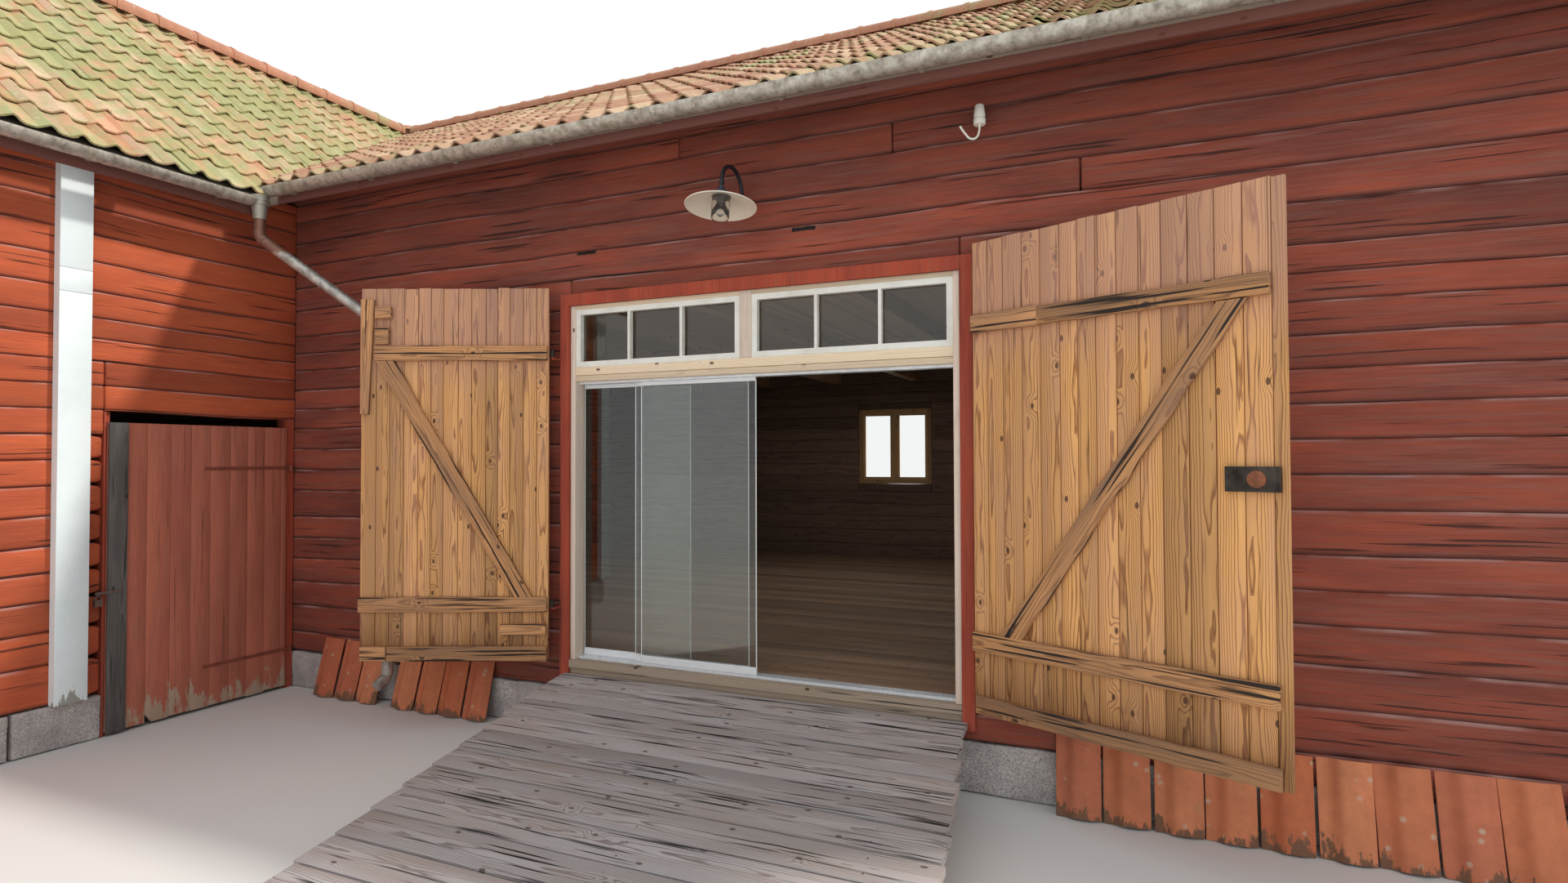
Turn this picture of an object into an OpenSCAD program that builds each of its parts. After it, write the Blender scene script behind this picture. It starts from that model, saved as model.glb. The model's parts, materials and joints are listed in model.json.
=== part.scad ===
// Red log barn: a main range with a double-leaved doorway, and a wing that runs forward at its left.
// X runs along the front wall, Y into the building, Z up. The origin is on the ground,
// under the middle of the doorway, in the plane of the front wall.

/* [Plan] */
// Distance from the middle of the doorway to the wing's yard wall
yard_wall_x = 4665; // [4400:5:5200]
// Distance from the middle of the doorway to the outer face of the right gable
right_x = 4900; // [4500:10:6000]
// Depth of the main range over its walls
main_depth = 7200; // [6600:20:8000]
// Length of the wing in front of the main range
wing_length = 4600; // [3600:20:6000]

/* [Walls] */
// Thickness of the log walls
log_t = 150; // [120:5:180]
// Height of the stone plinth
plinth_h = 330; // [250:10:400]
// Height of the sill log
sill_h = 170; // [150:5:220]
// Heights of the log courses above the sill, from below
course_h = [250, 225, 215, 190, 190, 240, 190, 190, 190, 185, 180, 185, 155, 160, 240, 210, 200, 210, 200, 160, 200];
// Depth of the rounded seam between two logs
seam_d = 14; // [6:1:24]
// Height of the rounded edge of a log at a seam
seam_h = 20; // [8:1:40]

// How far the log ends stand out past a corner
log_end = 150; // [80:10:220]
// Height of the log courses in the gables' peaks
peak_course = 205; // [150:5:250]

/* [Roof] */
// Pitch of the main range's roof
main_pitch = 30; // [27:0.5:35]
// Pitch of the wing's roof
wing_pitch = 40; // [36:1:46]
// Thickness of tiles, battens and boards together
roof_t = 90; // [70:5:120]
// Height from the top of the main walls to the tiles, at the wall's outer face
main_heel = 150; // [140:5:200]
// Height from the top of the wing's walls to the tiles, at the wall's outer face
wing_heel = 240; // [200:5:300]
// Width of a pantile
tile_w = 200; // [180:5:260]
// Height of a pantile's roll
tile_roll = 40; // [25:1:50]
// Eaves overhang of the main range
main_eave = 500; // [350:10:700]
// Eaves overhang of the wing
wing_eave = 340; // [250:10:500]
// Overhang of the roof past the gables
verge = 300; // [150:10:450]
// Height of a rafter
rafter_h = 120; // [90:5:160]
// Width of a rafter
rafter_w = 90; // [60:5:120]
// Spacing of the main range's rafters
rafter_step = 1700; // [1000:10:1900]
// Spacing of the wing's rafters
wing_rafter_step = 1200; // [900:10:1500]
// Radius of the ridge tiles
ridge_r = 110; // [90:5:130]
// Length of a ridge tile that shows
ridge_step = 400; // [300:10:500]
// Depth of the boards along the gables' roof edges
barge_h = 150; // [100:5:200]

/* [Gutters] */
// Radius of the half-round gutters
gutter_r = 70; // [50:1:80]
// Radius of the downpipe
pipe_r = 45; // [35:1:50]
// Spacing of the gutter hooks
hook_step = 900; // [600:50:1200]
// Length of a gutter section between two sleeves
gutter_section = 2000; // [1500:50:3000]
// Fall of the gutters for each metre
gutter_fall = 3; // [1:0.5:5]

/* [Floor and ceiling] */
// Height of the floor above the ground
floor_z = 560; // [480:5:620]
// Thickness of the floor
floor_t = 60; // [40:5:80]
// Height of the ceiling boards above the ground
ceiling_z = 3420; // [3300:10:3600]
// Thickness of the ceiling boards
ceiling_t = 28; // [20:1:40]
// Height of a ceiling beam
beam_h = 160; // [120:5:200]
// Width of a ceiling beam
beam_w = 130; // [100:5:180]
// Spacing of the ceiling beams
beam_step = 1250; // [900:10:1500]

/* [Doorway] */
// Half the width between the red casing posts
casing_in = 1515; // [1400:5:1560]
// Width of a casing board
casing_w = 80; // [60:5:110]
// How far the casing stands out of the wall
casing_proud = 25; // [15:1:30]
// Underside of the header
header_z = 3285; // [3200:5:3350]
// Height of the header
header_h = 90; // [70:5:120]
// Width of a post of the inner frame
post_w = 45; // [35:1:60]
// Depth of the inner frame
post_d = 130; // [100:5:140]
// Underside of the transom bar
transom_z = 2695; // [2600:5:2750]
// Height of the transom bar
transom_h = 110; // [90:5:140]
// Width of the mullion between the two sashes
mullion_w = 90; // [60:5:120]
// Width of a sash's frame
sash_w = 42; // [30:1:60]
// Depth of a sash
sash_d = 40; // [30:1:50]
// Top of the threshold
threshold_z = 545; // [500:5:580]

/* [Glass panels] */
// Thickness of the sliding glass
glass_t = 10; // [6:1:12]
// Height of the bottom track above the threshold
track_h = 20; // [14:1:30]
// Height of a panel's bottom rail
rail_h = 55; // [40:1:70]
// Width of one sliding panel
panel_w = 960; // [900:5:970]
// Distance between neighbouring panels, from front to back
panel_step = 26; // [22:1:30]
// Left edge of the leading panel in the photographed position
lead_x = -900; // [-1300:5:-500]
// Left edge of the middle panel in the photographed position
middle_x = -970; // [-1400:5:-600]

/* [Door leaves] */
// Width of the left leaf
left_leaf_w = 1485; // [1400:5:1550]
// Width of the right leaf
right_leaf_w = 1725; // [1600:5:1760]
// Height of both leaves
leaf_h = 2860; // [2700:10:2950]
// Underside of the leaves
leaf_z = 555; // [545:5:600]
// Thickness of the boards
board_t = 28; // [22:1:36]
// Thickness of ledges and braces
ledge_t = 34; // [28:1:40]
// Height of a ledge
ledge_h = 115; // [90:5:140]
// Width of a leaf's boards
leaf_board_w = 105; // [90:5:150]
// Opening angle of both leaves in the photograph
leaf_open = 156.5; // [140:0.5:170]
// Gap between a closed leaf and the casing
leaf_gap = 10; // [8:1:15]

/* [Wing door] */
// Width of the wing's door
wing_door_w = 1430; // [1300:5:1460]
// Height of the wing's door
wing_door_h = 2365; // [2200:5:2440]
// Underside of the lintel over the wing's door
lintel_z = 2470; // [2400:5:2550]
// Gap under the wing's door
wing_door_z = 20; // [15:1:40]
// Distance from the inner corner to the hinge side of the wing's door
wing_jamb = 85; // [85:5:110]
// Number of boards in the wing's door
wing_boards = 9; // [6:1:12]

/* [Corner boards] */
// Width of the white boxes over the log ends
box_w = 205; // [160:5:260]
// How far the boxes stand out of the wall
box_proud = 75; // [50:5:150]
// Distance from the inner corner to the first box's middle
box_y = 1765; // [1650:5:2100]

/* [Ramp] */
// Width of the ramp
ramp_w = 3130; // [2900:10:3200]
// Number of planks
ramp_planks = 12; // [8:1:13]
// Distance from plank to plank
plank_step = 240; // [200:5:260]
// Width of a plank
plank_w = 226; // [180:2:236]
// Thickness of a plank
plank_t = 48; // [36:1:60]
// Height of the ramp at the doorway
ramp_z = 450; // [400:5:500]
// Sideways shift of the planks for each unit outwards
ramp_skew = 0.12; // [0:0.01:0.2]

/* [Fittings] */
// Height of the lamp's rim above the ground
lamp_z = 3780; // [3600:10:3900]
// Radius of the lamp's shade
lamp_r = 240; // [180:5:260]
// Distance of the lamp from the wall
lamp_out = 350; // [280:5:420]
// Width and height of the back window
back_window = 1150; // [900:10:1300]

/* [Hidden] */
$fn = 32;

red = [0.45, 0.16, 0.11];
sunlit_red = [0.62, 0.25, 0.16];
stone = [0.52, 0.5, 0.48];
terracotta = [0.76, 0.45, 0.31];
pine = [0.72, 0.5, 0.28];
pale_pine = [0.78, 0.68, 0.52];
grey_wood = [0.5, 0.47, 0.43];
white_paint = [0.9, 0.92, 0.9];
zinc = [0.66, 0.67, 0.66];
iron = [0.2, 0.17, 0.15];
glass = [0.75, 0.85, 0.85, 0.35];

// A gap that keeps two neighbouring solids from sharing space
fit_gap = 0.5;
// How far a cutting shape reaches past what it cuts
past_cut = 10;
// How far the plinth stands out of the walls, and in behind them
plinth_out = 10;
plinth_in = 60;

function total(list, n) = n <= 0 ? 0 : list[n - 1] + total(list, n - 1);
main_courses = len(course_h);
wing_courses = main_courses - 1;
logs_z = plinth_h + sill_h;
main_top = logs_z + total(course_h, main_courses);
wing_top = logs_z + total(course_h, wing_courses);
// Heights of the seams between the logs of a wall with n courses above the sill
function seams(n) = [for (i = [0:n]) logs_z + total(course_h, i)];

main_rise = tan(main_pitch);
wing_rise = tan(wing_pitch);
// Thickness of the roofs, measured upright
main_roof_v = roof_t / cos(main_pitch);
wing_roof_v = roof_t / cos(wing_pitch);
main_half = main_depth / 2;
main_roof_z = main_top + main_heel;
wing_roof_z = wing_top + wing_heel;
ridge_z = main_roof_z + main_half * main_rise;
// The wing is as wide as makes its ridge level with the main ridge
wing_half = (ridge_z - wing_roof_z) / wing_rise;
wing_width = 2 * wing_half;
left_x = yard_wall_x + wing_width;
wing_ridge_x = -yard_wall_x - wing_half;

main_eave_y = -main_eave;
back_eave_y = main_depth + main_eave;
yard_eave_x = -yard_wall_x + wing_eave;
left_eave_x = -left_x - wing_eave;
verge_x = right_x + verge;
verge_y = -wing_length - verge;
// Where the main front slope and the wing's right slope meet, at a given y
function valley_x(y) = -yard_wall_x - (main_roof_z - wing_roof_z + y * main_rise) / wing_rise;
// Where the main back slope and the wing's left slope meet
function hip_x(y) = wing_ridge_x - (y - main_half) * main_rise / wing_rise;

casing_out = casing_in + casing_w;
frame_in = casing_in - post_w;
panel_z = threshold_z + track_h + fit_gap;
panel_h = transom_z - 20 - 2 * fit_gap - panel_z;
glass_y = 55;

leaf_in_y = -casing_proud - leaf_gap - ledge_t;
leaf_out_y = leaf_in_y - board_t;
strap_t = 5;
pin_r = 8;
eye_r = 14;
pin_y = leaf_out_y - strap_t / 2;
pin_x = casing_out + 15;
leaf_side_gap = 20;

wing_door_t = 32;
// The post beyond the wing's door ends where the wing's log wall starts
wing_door_far_y = -wing_jamb - wing_door_w - 20;
wing_pin_x = -yard_wall_x + 8;
wing_pin_y = -wing_jamb + 40;
wing_hinges = [360, 2020];

// Places a shape that is drawn for the closed left leaf at its rest angle
module swing_left() {
    translate([-pin_x, pin_y, 0]) rotate([0, 0, -leaf_open]) children();
}

// The same for the right leaf, drawn as a mirror of the left one
module swing_right() {
    translate([pin_x, pin_y, 0]) rotate([0, 0, leaf_open]) mirror([1, 0, 0]) children();
}

// Cross-section of a log wall between two heights: x is the depth in the wall, y the height
function log_edge(zs, x, s) = [for (i = [0:len(zs) - 1]) each
    i == 0 ? [[x, zs[0]]] :
    i == len(zs) - 1 ? [[x, zs[i]]] :
    [[x, zs[i] - seam_h], [x + s * seam_d, zs[i]], [x, zs[i] + seam_h]]];

function reverse(list) = [for (i = [len(list) - 1:-1:0]) list[i]];

// Keeps the seams that lie between two heights and adds the heights themselves
function clip_seams(zs, z0, z1) = concat([z0],
    [for (z = zs) if (z > z0 + seam_h + 1 && z < z1 - seam_h - 1) z], [z1]);

module log_profile(z0, z1, n) {
    zs = clip_seams(seams(n), z0, z1);
    polygon(concat(log_edge(zs, 0, 1), reverse(log_edge(zs, log_t, -1))));
}

// A log wall along X, with its outer face at y
module wall_x(x0, x1, y, z0, z1, n) {
    translate([x0, y, 0]) rotate([90, 0, 90]) linear_extrude(x1 - x0) log_profile(z0, z1, n);
}

// Seams of a wall along X, from the plinth to the top of course n
function seams_x(n) = concat([plinth_h], seams(n));

// Quarter of the height of each course, which its notches take away above and below
function quarters(n) = let (s = seams_x(n)) [for (i = [0:n]) (s[i + 1] - s[i]) / 4];

// The logs of a wall along Y lie half a course higher than those of a wall along X
function seams_y(n) = let (s = seams_x(n))
    concat([plinth_h], [for (i = [1:n]) (s[i] + s[i + 1]) / 2], [s[n + 1]]);

// What the notches leave of the logs at a corner, as pairs of heights, for both directions
function necks_x(n) = let (s = seams_x(n), q = quarters(n))
    [for (i = [0:n]) [i == 0 ? s[0] : s[i] + q[i], s[i + 1] - q[i]]];
function necks_y(n) = let (s = seams_x(n), q = quarters(n))
    [for (i = [0:n]) [s[i + 1] - q[i] + fit_gap, i == n ? s[n + 1] : s[i + 1] + q[i + 1] - fit_gap]];

// Cross-section of a log wall whose seams are given, with the outer face at x = 0
module log_section(zs) {
    polygon(concat(log_edge(zs, 0, 1), reverse(log_edge(zs, log_t, -1))));
}

// A corner's end of a log wall that is drawn with its length along +Z: the notched
// necks where the other wall's logs pass, and the log ends beyond them
module log_corner(necks, zs, out) {
    lap = 1;
    translate([0, 0, -lap]) linear_extrude(log_t + 2 * lap) for (k = necks)
        translate([0, k[0]]) square([log_t, k[1] - k[0]]);
    translate([0, 0, log_t]) linear_extrude(out) log_section(zs);
}

// Turns what is drawn as a cross-section with its length along +Z to a wall along X or Y
module along_x(x, y) {
    translate([x, y, 0]) rotate([90, 0, 90]) children();
}

module along_y(x, y) {
    translate([x, y, 0]) rotate([90, 0, 0]) children();
}

// A log wall along X, with crossed corners where an end's log ends stand out
module corner_wall_x(x0, x1, y, n, out0, out1) {
    from = out0 > 0 ? x0 + log_t : x0;
    to = out1 > 0 ? x1 - log_t : x1;
    zs = seams_x(n);
    along_x(from, y) linear_extrude(to - from) log_section(zs);
    if (out0 > 0)
        along_x(from, y) mirror([0, 0, 1]) log_corner(necks_x(n), zs, out0);
    if (out1 > 0)
        along_x(to, y) log_corner(necks_x(n), zs, out1);
}

// The same along Y, with its low-x face at x
module corner_wall_y(x, y0, y1, n, out0, out1) {
    from = out0 > 0 ? y0 + log_t : y0;
    to = out1 > 0 ? y1 - log_t : y1;
    zs = seams_y(n);
    along_y(x, to) linear_extrude(to - from) log_section(zs);
    if (out0 > 0)
        along_y(x, from) log_corner(necks_y(n), zs, out0);
    if (out1 > 0)
        along_y(x, to) mirror([0, 0, 1]) log_corner(necks_y(n), zs, out1);
}

// Courses of a gable's peak above a height
function peak_seams(z0, z1) = concat([z0], [for (z = [z0 + peak_course:peak_course:z1 - peak_course / 2]) z], [z1]);

module block(low, high) {
    translate(low) cube(high - low);
}

// Stone plinth under all walls, in straight runs that stop at the wing's door
module plinth() {
    out = plinth_out;
    back = log_t + plinth_in;
    color(stone) {
        block([-yard_wall_x - log_t, -out, 0], [right_x, back, plinth_h]);
        block([right_x - back, back, 0], [right_x + out, main_depth - back, plinth_h]);
        block([-left_x, main_depth - back, 0], [right_x, main_depth + out, plinth_h]);
        block([-left_x - out, -wing_length + back, 0], [-left_x + back, main_depth - back, plinth_h]);
        block([-left_x, -wing_length - out, 0], [-yard_wall_x, -wing_length + back, plinth_h]);
        block([-yard_wall_x - back, -wing_length + back, 0], [-yard_wall_x + out, wing_door_far_y, plinth_h]);
        block([-left_x + back, -out, 0], [-yard_wall_x - log_t - fit_gap, log_t, floor_z - floor_t]);
    }
}

// Plank floor of the main range
module floor() {
    color(pine) block([-left_x + log_t, log_t, floor_z - floor_t], [right_x - log_t, main_depth - log_t, floor_z]);
}

// Ceiling boards on beams that cross the main range
module ceiling() {
    x0 = -yard_wall_x;
    x1 = right_x - log_t;
    n = floor((x1 - x0) / beam_step);
    color(pale_pine) {
        block([x0, log_t, ceiling_z], [x1, main_depth - log_t, ceiling_z + ceiling_t]);
        for (i = [0:n])
            let (x = (x0 + x1) / 2 + (i - n / 2) * beam_step)
            block([x - beam_w / 2, log_t, ceiling_z - beam_h],
                  [x + beam_w / 2, main_depth - log_t, ceiling_z - fit_gap]);
    }
}

module front_wall_left() {
    color(red) wall_x(-yard_wall_x - log_t, -casing_in, 0, plinth_h, main_top, main_courses);
}

module front_wall_right() {
    color(red) union() corner_wall_x(casing_in, right_x, 0, main_courses, 0, log_end);
}

module front_wall_over_door() {
    color(red) wall_x(-casing_in, casing_in, 0, header_z, main_top, main_courses);
}

module right_gable_wall() {
    x = right_x - log_t;
    color(red) intersection() {
        union() {
            corner_wall_y(x, 0, main_depth, main_courses, log_end, log_end);
            along_y(x, main_depth) linear_extrude(main_depth) log_section(peak_seams(main_top, ridge_z));
        }
        gable_cut_y(x - past_cut, right_x + past_cut);
    }
}

// The space below the main roof, between two x values
module gable_cut_y(x0, x1) {
    z_wall = main_roof_z - main_roof_v - fit_gap;
    z_ridge = ridge_z - main_roof_v - fit_gap;
    past = 2 * log_end;
    translate([x0, 0, 0]) rotate([90, 0, 90]) linear_extrude(x1 - x0)
        polygon([[-past, 0], [main_depth + past, 0], [main_depth + past, z_wall - past * main_rise],
            [main_half, z_ridge], [-past, z_wall - past * main_rise]]);
}

// The space below the wing's roof, between two y values
module gable_cut_x(y0, y1) {
    z_wall = wing_roof_z - wing_roof_v - fit_gap;
    z_ridge = ridge_z - wing_roof_v - fit_gap;
    past = 2 * log_end;
    translate([0, y1, 0]) rotate([90, 0, 0]) linear_extrude(y1 - y0)
        polygon([[-left_x - past, 0], [past - yard_wall_x, 0], [past - yard_wall_x, z_wall - past * wing_rise],
            [wing_ridge_x, z_ridge], [-left_x - past, z_wall - past * wing_rise]]);
}

// Sill height and middle of the back window
back_window_z = 1690;
back_window_x = -920;

// The space below the wing's left slope, at the back wall
module below_left_slope() {
    z_wall = wing_roof_z - wing_roof_v - fit_gap;
    past = 2 * log_end;
    top = z_wall + main_heel;
    translate([0, main_depth + past_cut, 0]) rotate([90, 0, 0]) linear_extrude(log_t + 2 * past_cut)
        polygon([[-left_x - past, 0], [right_x + past, 0], [right_x + past, top],
            [-left_x + main_heel / wing_rise, top], [-left_x - past, z_wall - past * wing_rise]]);
}

module back_wall() {
    color(red) difference() {
        intersection() {
            union() corner_wall_x(-left_x, right_x, main_depth - log_t, main_courses, log_end, log_end);
            below_left_slope();
        }
        block([back_window_x - back_window / 2, main_depth - log_t - past_cut, back_window_z],
              [back_window_x + back_window / 2, main_depth + past_cut, back_window_z + back_window]);
    }
}

module left_wall() {
    color(red) intersection() {
        union() corner_wall_y(-left_x, -wing_length, main_depth, wing_courses, log_end, log_end);
        gable_cut_x(-wing_length - 2 * log_end, main_depth + 2 * log_end);
    }
}

module wing_wall() {
    color(sunlit_red) union() corner_wall_y(-yard_wall_x - log_t, -wing_length, wing_door_far_y,
        wing_courses, log_end, 0);
}

module wing_wall_over_door() {
    color(sunlit_red) along_y(-yard_wall_x - log_t, 0) linear_extrude(-wing_door_far_y)
        log_section(clip_seams(seams_y(wing_courses), lintel_z, wing_top));
}

// Gap between the gable's log ends and the box over them
stub_gap = 8;

module wing_gable_wall() {
    color(sunlit_red) intersection() {
        union() {
            corner_wall_x(-left_x, -yard_wall_x, -wing_length, wing_courses, log_end, box_proud - box_t - stub_gap);
            along_x(-left_x + fit_gap, -wing_length) linear_extrude(wing_width - 2 * fit_gap)
                log_section(peak_seams(wing_top, ridge_z));
        }
        gable_cut_x(-wing_length - past_cut, -wing_length + log_t + past_cut);
    }
}

// Upper edge of a row of pantiles: x runs along the eave, y is the height below the crests
function rolls(n, w, h) = [for (i = [0:n - 1], k = [[0, -h], [0.18, -h], [0.42, 0], [0.72, 0]]) [(i + k[0]) * w, k[1]]];

// A roof slope over a plan outline. Its crests pass through height z at y = 0 before it
// is turned, and rise with y. Tiles are counted from first to last along the eave.
module slope_over(outline, z, pitch, angle, at, first, last) {
    far = 30000;
    n = ceil((last - first) / tile_w);
    intersection() {
        linear_extrude(far) polygon(outline);
        translate(at) rotate([0, 0, angle]) translate([0, 0, z]) rotate([pitch, 0, 0])
            translate([first, far / 3, 0]) rotate([90, 0, 0]) linear_extrude(far * 2 / 3)
            polygon(concat(rolls(n, tile_w, tile_roll),
                [[n * tile_w, -tile_roll], [n * tile_w, -roof_t], [0, -roof_t]]));
    }
}

module roof_main_front() {
    color(terracotta) slope_over([
        [valley_x(main_eave_y), main_eave_y], [verge_x, main_eave_y],
        [verge_x, main_half], [wing_ridge_x, main_half]],
        main_roof_z, main_pitch, 0, [0, 0, 0], wing_ridge_x, verge_x);
}

module roof_main_back() {
    color(terracotta) slope_over([
        [verge_x, main_half], [verge_x, back_eave_y],
        [hip_x(back_eave_y), back_eave_y], [wing_ridge_x, main_half]],
        main_roof_z, main_pitch, 180, [0, main_depth, 0], -verge_x, -hip_x(back_eave_y));
}

module roof_wing_right() {
    color(terracotta) slope_over([
        [yard_eave_x, verge_y], [yard_eave_x, main_eave_y], [valley_x(main_eave_y), main_eave_y],
        [wing_ridge_x, main_half], [wing_ridge_x, verge_y]],
        wing_roof_z, wing_pitch, 90, [-yard_wall_x, 0, 0], verge_y - tile_w / 6, main_half);
}

module roof_wing_left() {
    color(terracotta) slope_over([
        [left_eave_x, verge_y], [wing_ridge_x, verge_y], [wing_ridge_x, main_half],
        [hip_x(back_eave_y), back_eave_y], [left_eave_x, back_eave_y]],
        wing_roof_z, wing_pitch, -90, [-left_x, 0, 0], -back_eave_y, -verge_y);
}

// How far the ridge tiles' centre line lies below the ridge
ridge_seat = 45;
// Thickness of a ridge tile, and how much its collar is wider
ridge_t = 16;
ridge_collar = 9;

// Half-round ridge tiles along both ridges and the hip, with a cap where they meet
module ridge_tiles() {
    clear = 150;
    seat = ridge_z - ridge_seat;
    hip_run = [hip_x(back_eave_y), back_eave_y, main_roof_z - main_eave * main_rise] - [wing_ridge_x, main_half, ridge_z];
    hip_l = norm(hip_run);
    turned = facing(hip_run / hip_l);
    hip_drops = [for (n = [[0, sin(main_pitch), cos(main_pitch)], [-sin(wing_pitch), 0, cos(wing_pitch)]])
        (n * column(turned, 0)) / (n * column(turned, 1))];
    cap_h = 80;
    color(terracotta) {
        union() {
            translate([wing_ridge_x + clear, main_half, seat]) rotate([90, 0, 90])
                ridge_row(verge_x - wing_ridge_x - clear, main_rise, main_rise);
            translate([wing_ridge_x, main_half - clear, seat]) rotate([90, 0, 0])
                ridge_row(main_half - clear - verge_y, wing_rise, wing_rise);
            translate([wing_ridge_x, main_half, ridge_z + fit_gap]) cylinder(h = cap_h, r1 = clear + 15, r2 = cap_h);
        }
        translate([wing_ridge_x, main_half, ridge_z]) multmatrix(turned) translate([0, -ridge_seat, 2 * clear])
            ridge_row(hip_l - 2 * clear, -min(hip_drops), max(hip_drops));
    }
}

// Turns +Z to a given direction, with X kept level and Y upwards
function facing(d) = let (x = [-d[1], d[0], 0] / norm([d[1], d[0], 0]), y = cross(d, x))
    [[x[0], y[0], d[0], 0], [x[1], y[1], d[1], 0], [x[2], y[2], d[2], 0], [0, 0, 0, 1]];
function column(m, i) = [m[0][i], m[1][i], m[2][i]];

// A row of ridge tiles along +Z, each with a collar over the next one's end; the roof
// falls by the two drops for each unit to either side
module ridge_row(l, left_drop, right_drop) {
    linear_extrude(l) ridge_profile(ridge_r, ridge_r - ridge_t, fit_gap, left_drop, right_drop);
    for (z = [ridge_collar:ridge_step:l - ridge_step / 2])
        translate([0, 0, z]) linear_extrude(5 * ridge_collar)
            ridge_profile(ridge_r + ridge_collar, ridge_r - ridge_t / 2, 4 * fit_gap, left_drop, right_drop);
}

module ridge_profile(r, inner_r, gap, left_drop, right_drop) {
    difference() {
        circle(r = r);
        circle(r = inner_r);
        translate([0, ridge_seat + gap])
            polygon([[0, 0], [-3 * r, -3 * r * left_drop], [-3 * r, -4 * r],
                [3 * r, -4 * r], [3 * r, -3 * r * right_drop]]);
    }
}

// Distance from the wing's yard wall to the first rafter of the main range
first_rafter = 655;

// Half a rafter pair: x runs from the eave to the ridge, y is the height; notched over the wall
module rafter_half(eave, half, roof_z, slope_rise, pitch, wall_top) {
    z0 = roof_z - roof_t / cos(pitch) - fit_gap;
    h = rafter_h / cos(pitch);
    low = fascia_back + fascia_t + fit_gap - eave;
    high = half - fit_gap / 2;
    difference() {
        polygon([[low, z0 + low * slope_rise], [high, z0 + high * slope_rise],
            [high, z0 + high * slope_rise - h], [low, z0 + low * slope_rise - h]]);
        translate([-5, 0]) square([log_t + 10, wall_top + fit_gap]);
    }
}

// Pairs of rafters that meet at the ridges of the main range and the wing
module rafters() {
    first_x = -yard_wall_x + first_rafter;
    n = floor((right_x - log_t - first_x) / rafter_step);
    first_y = -wing_length + log_t + wing_rafter_step / 2;
    m = floor((main_eave_y - first_y) / wing_rafter_step);
    color(red) {
        for (i = [0:n], side = [0, 1])
            translate([first_x + i * rafter_step - rafter_w / 2, side * main_depth, 0]) mirror([0, side, 0])
                rotate([90, 0, 90]) linear_extrude(rafter_w)
                rafter_half(main_eave, main_half, main_roof_z, main_rise, main_pitch, main_top);
        for (i = [0:m], side = [0, 1])
            translate([wing_ridge_x, first_y + i * wing_rafter_step + rafter_w / 2, 0]) mirror([side, 0, 0])
                translate([-wing_half, 0, 0]) rotate([90, 0, 0]) linear_extrude(rafter_w)
                rafter_half(wing_eave, wing_half, wing_roof_z, wing_rise, wing_pitch, wing_top);
    }
}

fascia_back = 5;
fascia_t = 22;
fascia_h = 130;
// How far the fascias stop short of the valley
valley_gap = 60;
// Undersides of both roofs at their eaves
main_eave_z = main_roof_z - main_eave * main_rise - main_roof_v;
wing_eave_z = wing_roof_z - wing_eave * wing_rise - wing_roof_v;

// Fascia boards behind the gutters, and barge boards under the tiles at the gables
module eaves_boards() {
    // The fascias reach up to the roof's underside at their front face
    main_up = fascia_back * main_rise - fit_gap;
    wing_up = fascia_back * wing_rise - fit_gap;
    color(grey_wood) {
        block([valley_x(main_eave_y) + valley_gap, main_eave_y + fascia_back, main_eave_z - fascia_h],
              [verge_x - fascia_t - 2 * fit_gap, main_eave_y + fascia_back + fascia_t, main_eave_z + main_up]);
        block([yard_eave_x - fascia_back - fascia_t, verge_y + fascia_t + 2 * fit_gap, wing_eave_z - fascia_h],
              [yard_eave_x - fascia_back, main_eave_y - valley_gap, wing_eave_z + wing_up]);
        translate([verge_x - fascia_t, 0, 0]) rotate([90, 0, 90]) linear_extrude(fascia_t)
            barge_board(main_eave, main_half, main_eave_z, main_rise);
        translate([-left_x, verge_y + fascia_t, 0]) rotate([90, 0, 0]) linear_extrude(fascia_t)
            barge_board(wing_eave, wing_half, wing_eave_z, wing_rise);
    }
}

// Barge boards of one gable, from eave to eave: x runs across the building, y is the height
module barge_board(eave, half, eave_z, slope_rise) {
    z0 = eave_z - fit_gap;
    peak = z0 + (half + eave) * slope_rise;
    polygon([[-eave, z0], [half, peak], [2 * half + eave, z0],
        [2 * half + eave, z0 - barge_h], [half, peak - barge_h], [-eave, z0 - barge_h]]);
}

gutter_gap = 8;
gutter_t = 3;
main_gutter_y = main_eave_y - gutter_gap - gutter_r;
wing_gutter_x = yard_eave_x + gutter_gap + gutter_r;
// Heights of the gutters' rims at the hopper, their lowest point
main_gutter_z = main_eave_z - 25;
wing_gutter_z = wing_eave_z - 12;
fall = gutter_fall / 1000;

module gutter_profile(r, t) {
    difference() {
        circle(r = r);
        if (t < r) circle(r = r - t);
        translate([-2 * r, 0]) square([4 * r, 2 * r]);
    }
}

// A hook round a gutter, with its back plate on the fascia
module gutter_hook(fascia) {
    w = 30;
    plate_h = 35;
    linear_extrude(w) difference() {
        union() {
            circle(r = gutter_r + 4);
            translate([0, -gutter_r + 10]) square([gutter_r + fascia, plate_h]);
        }
        circle(r = gutter_r - 1);
        translate([-2 * gutter_r, 0]) square([4 * gutter_r, 2 * gutter_r]);
    }
}

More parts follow.
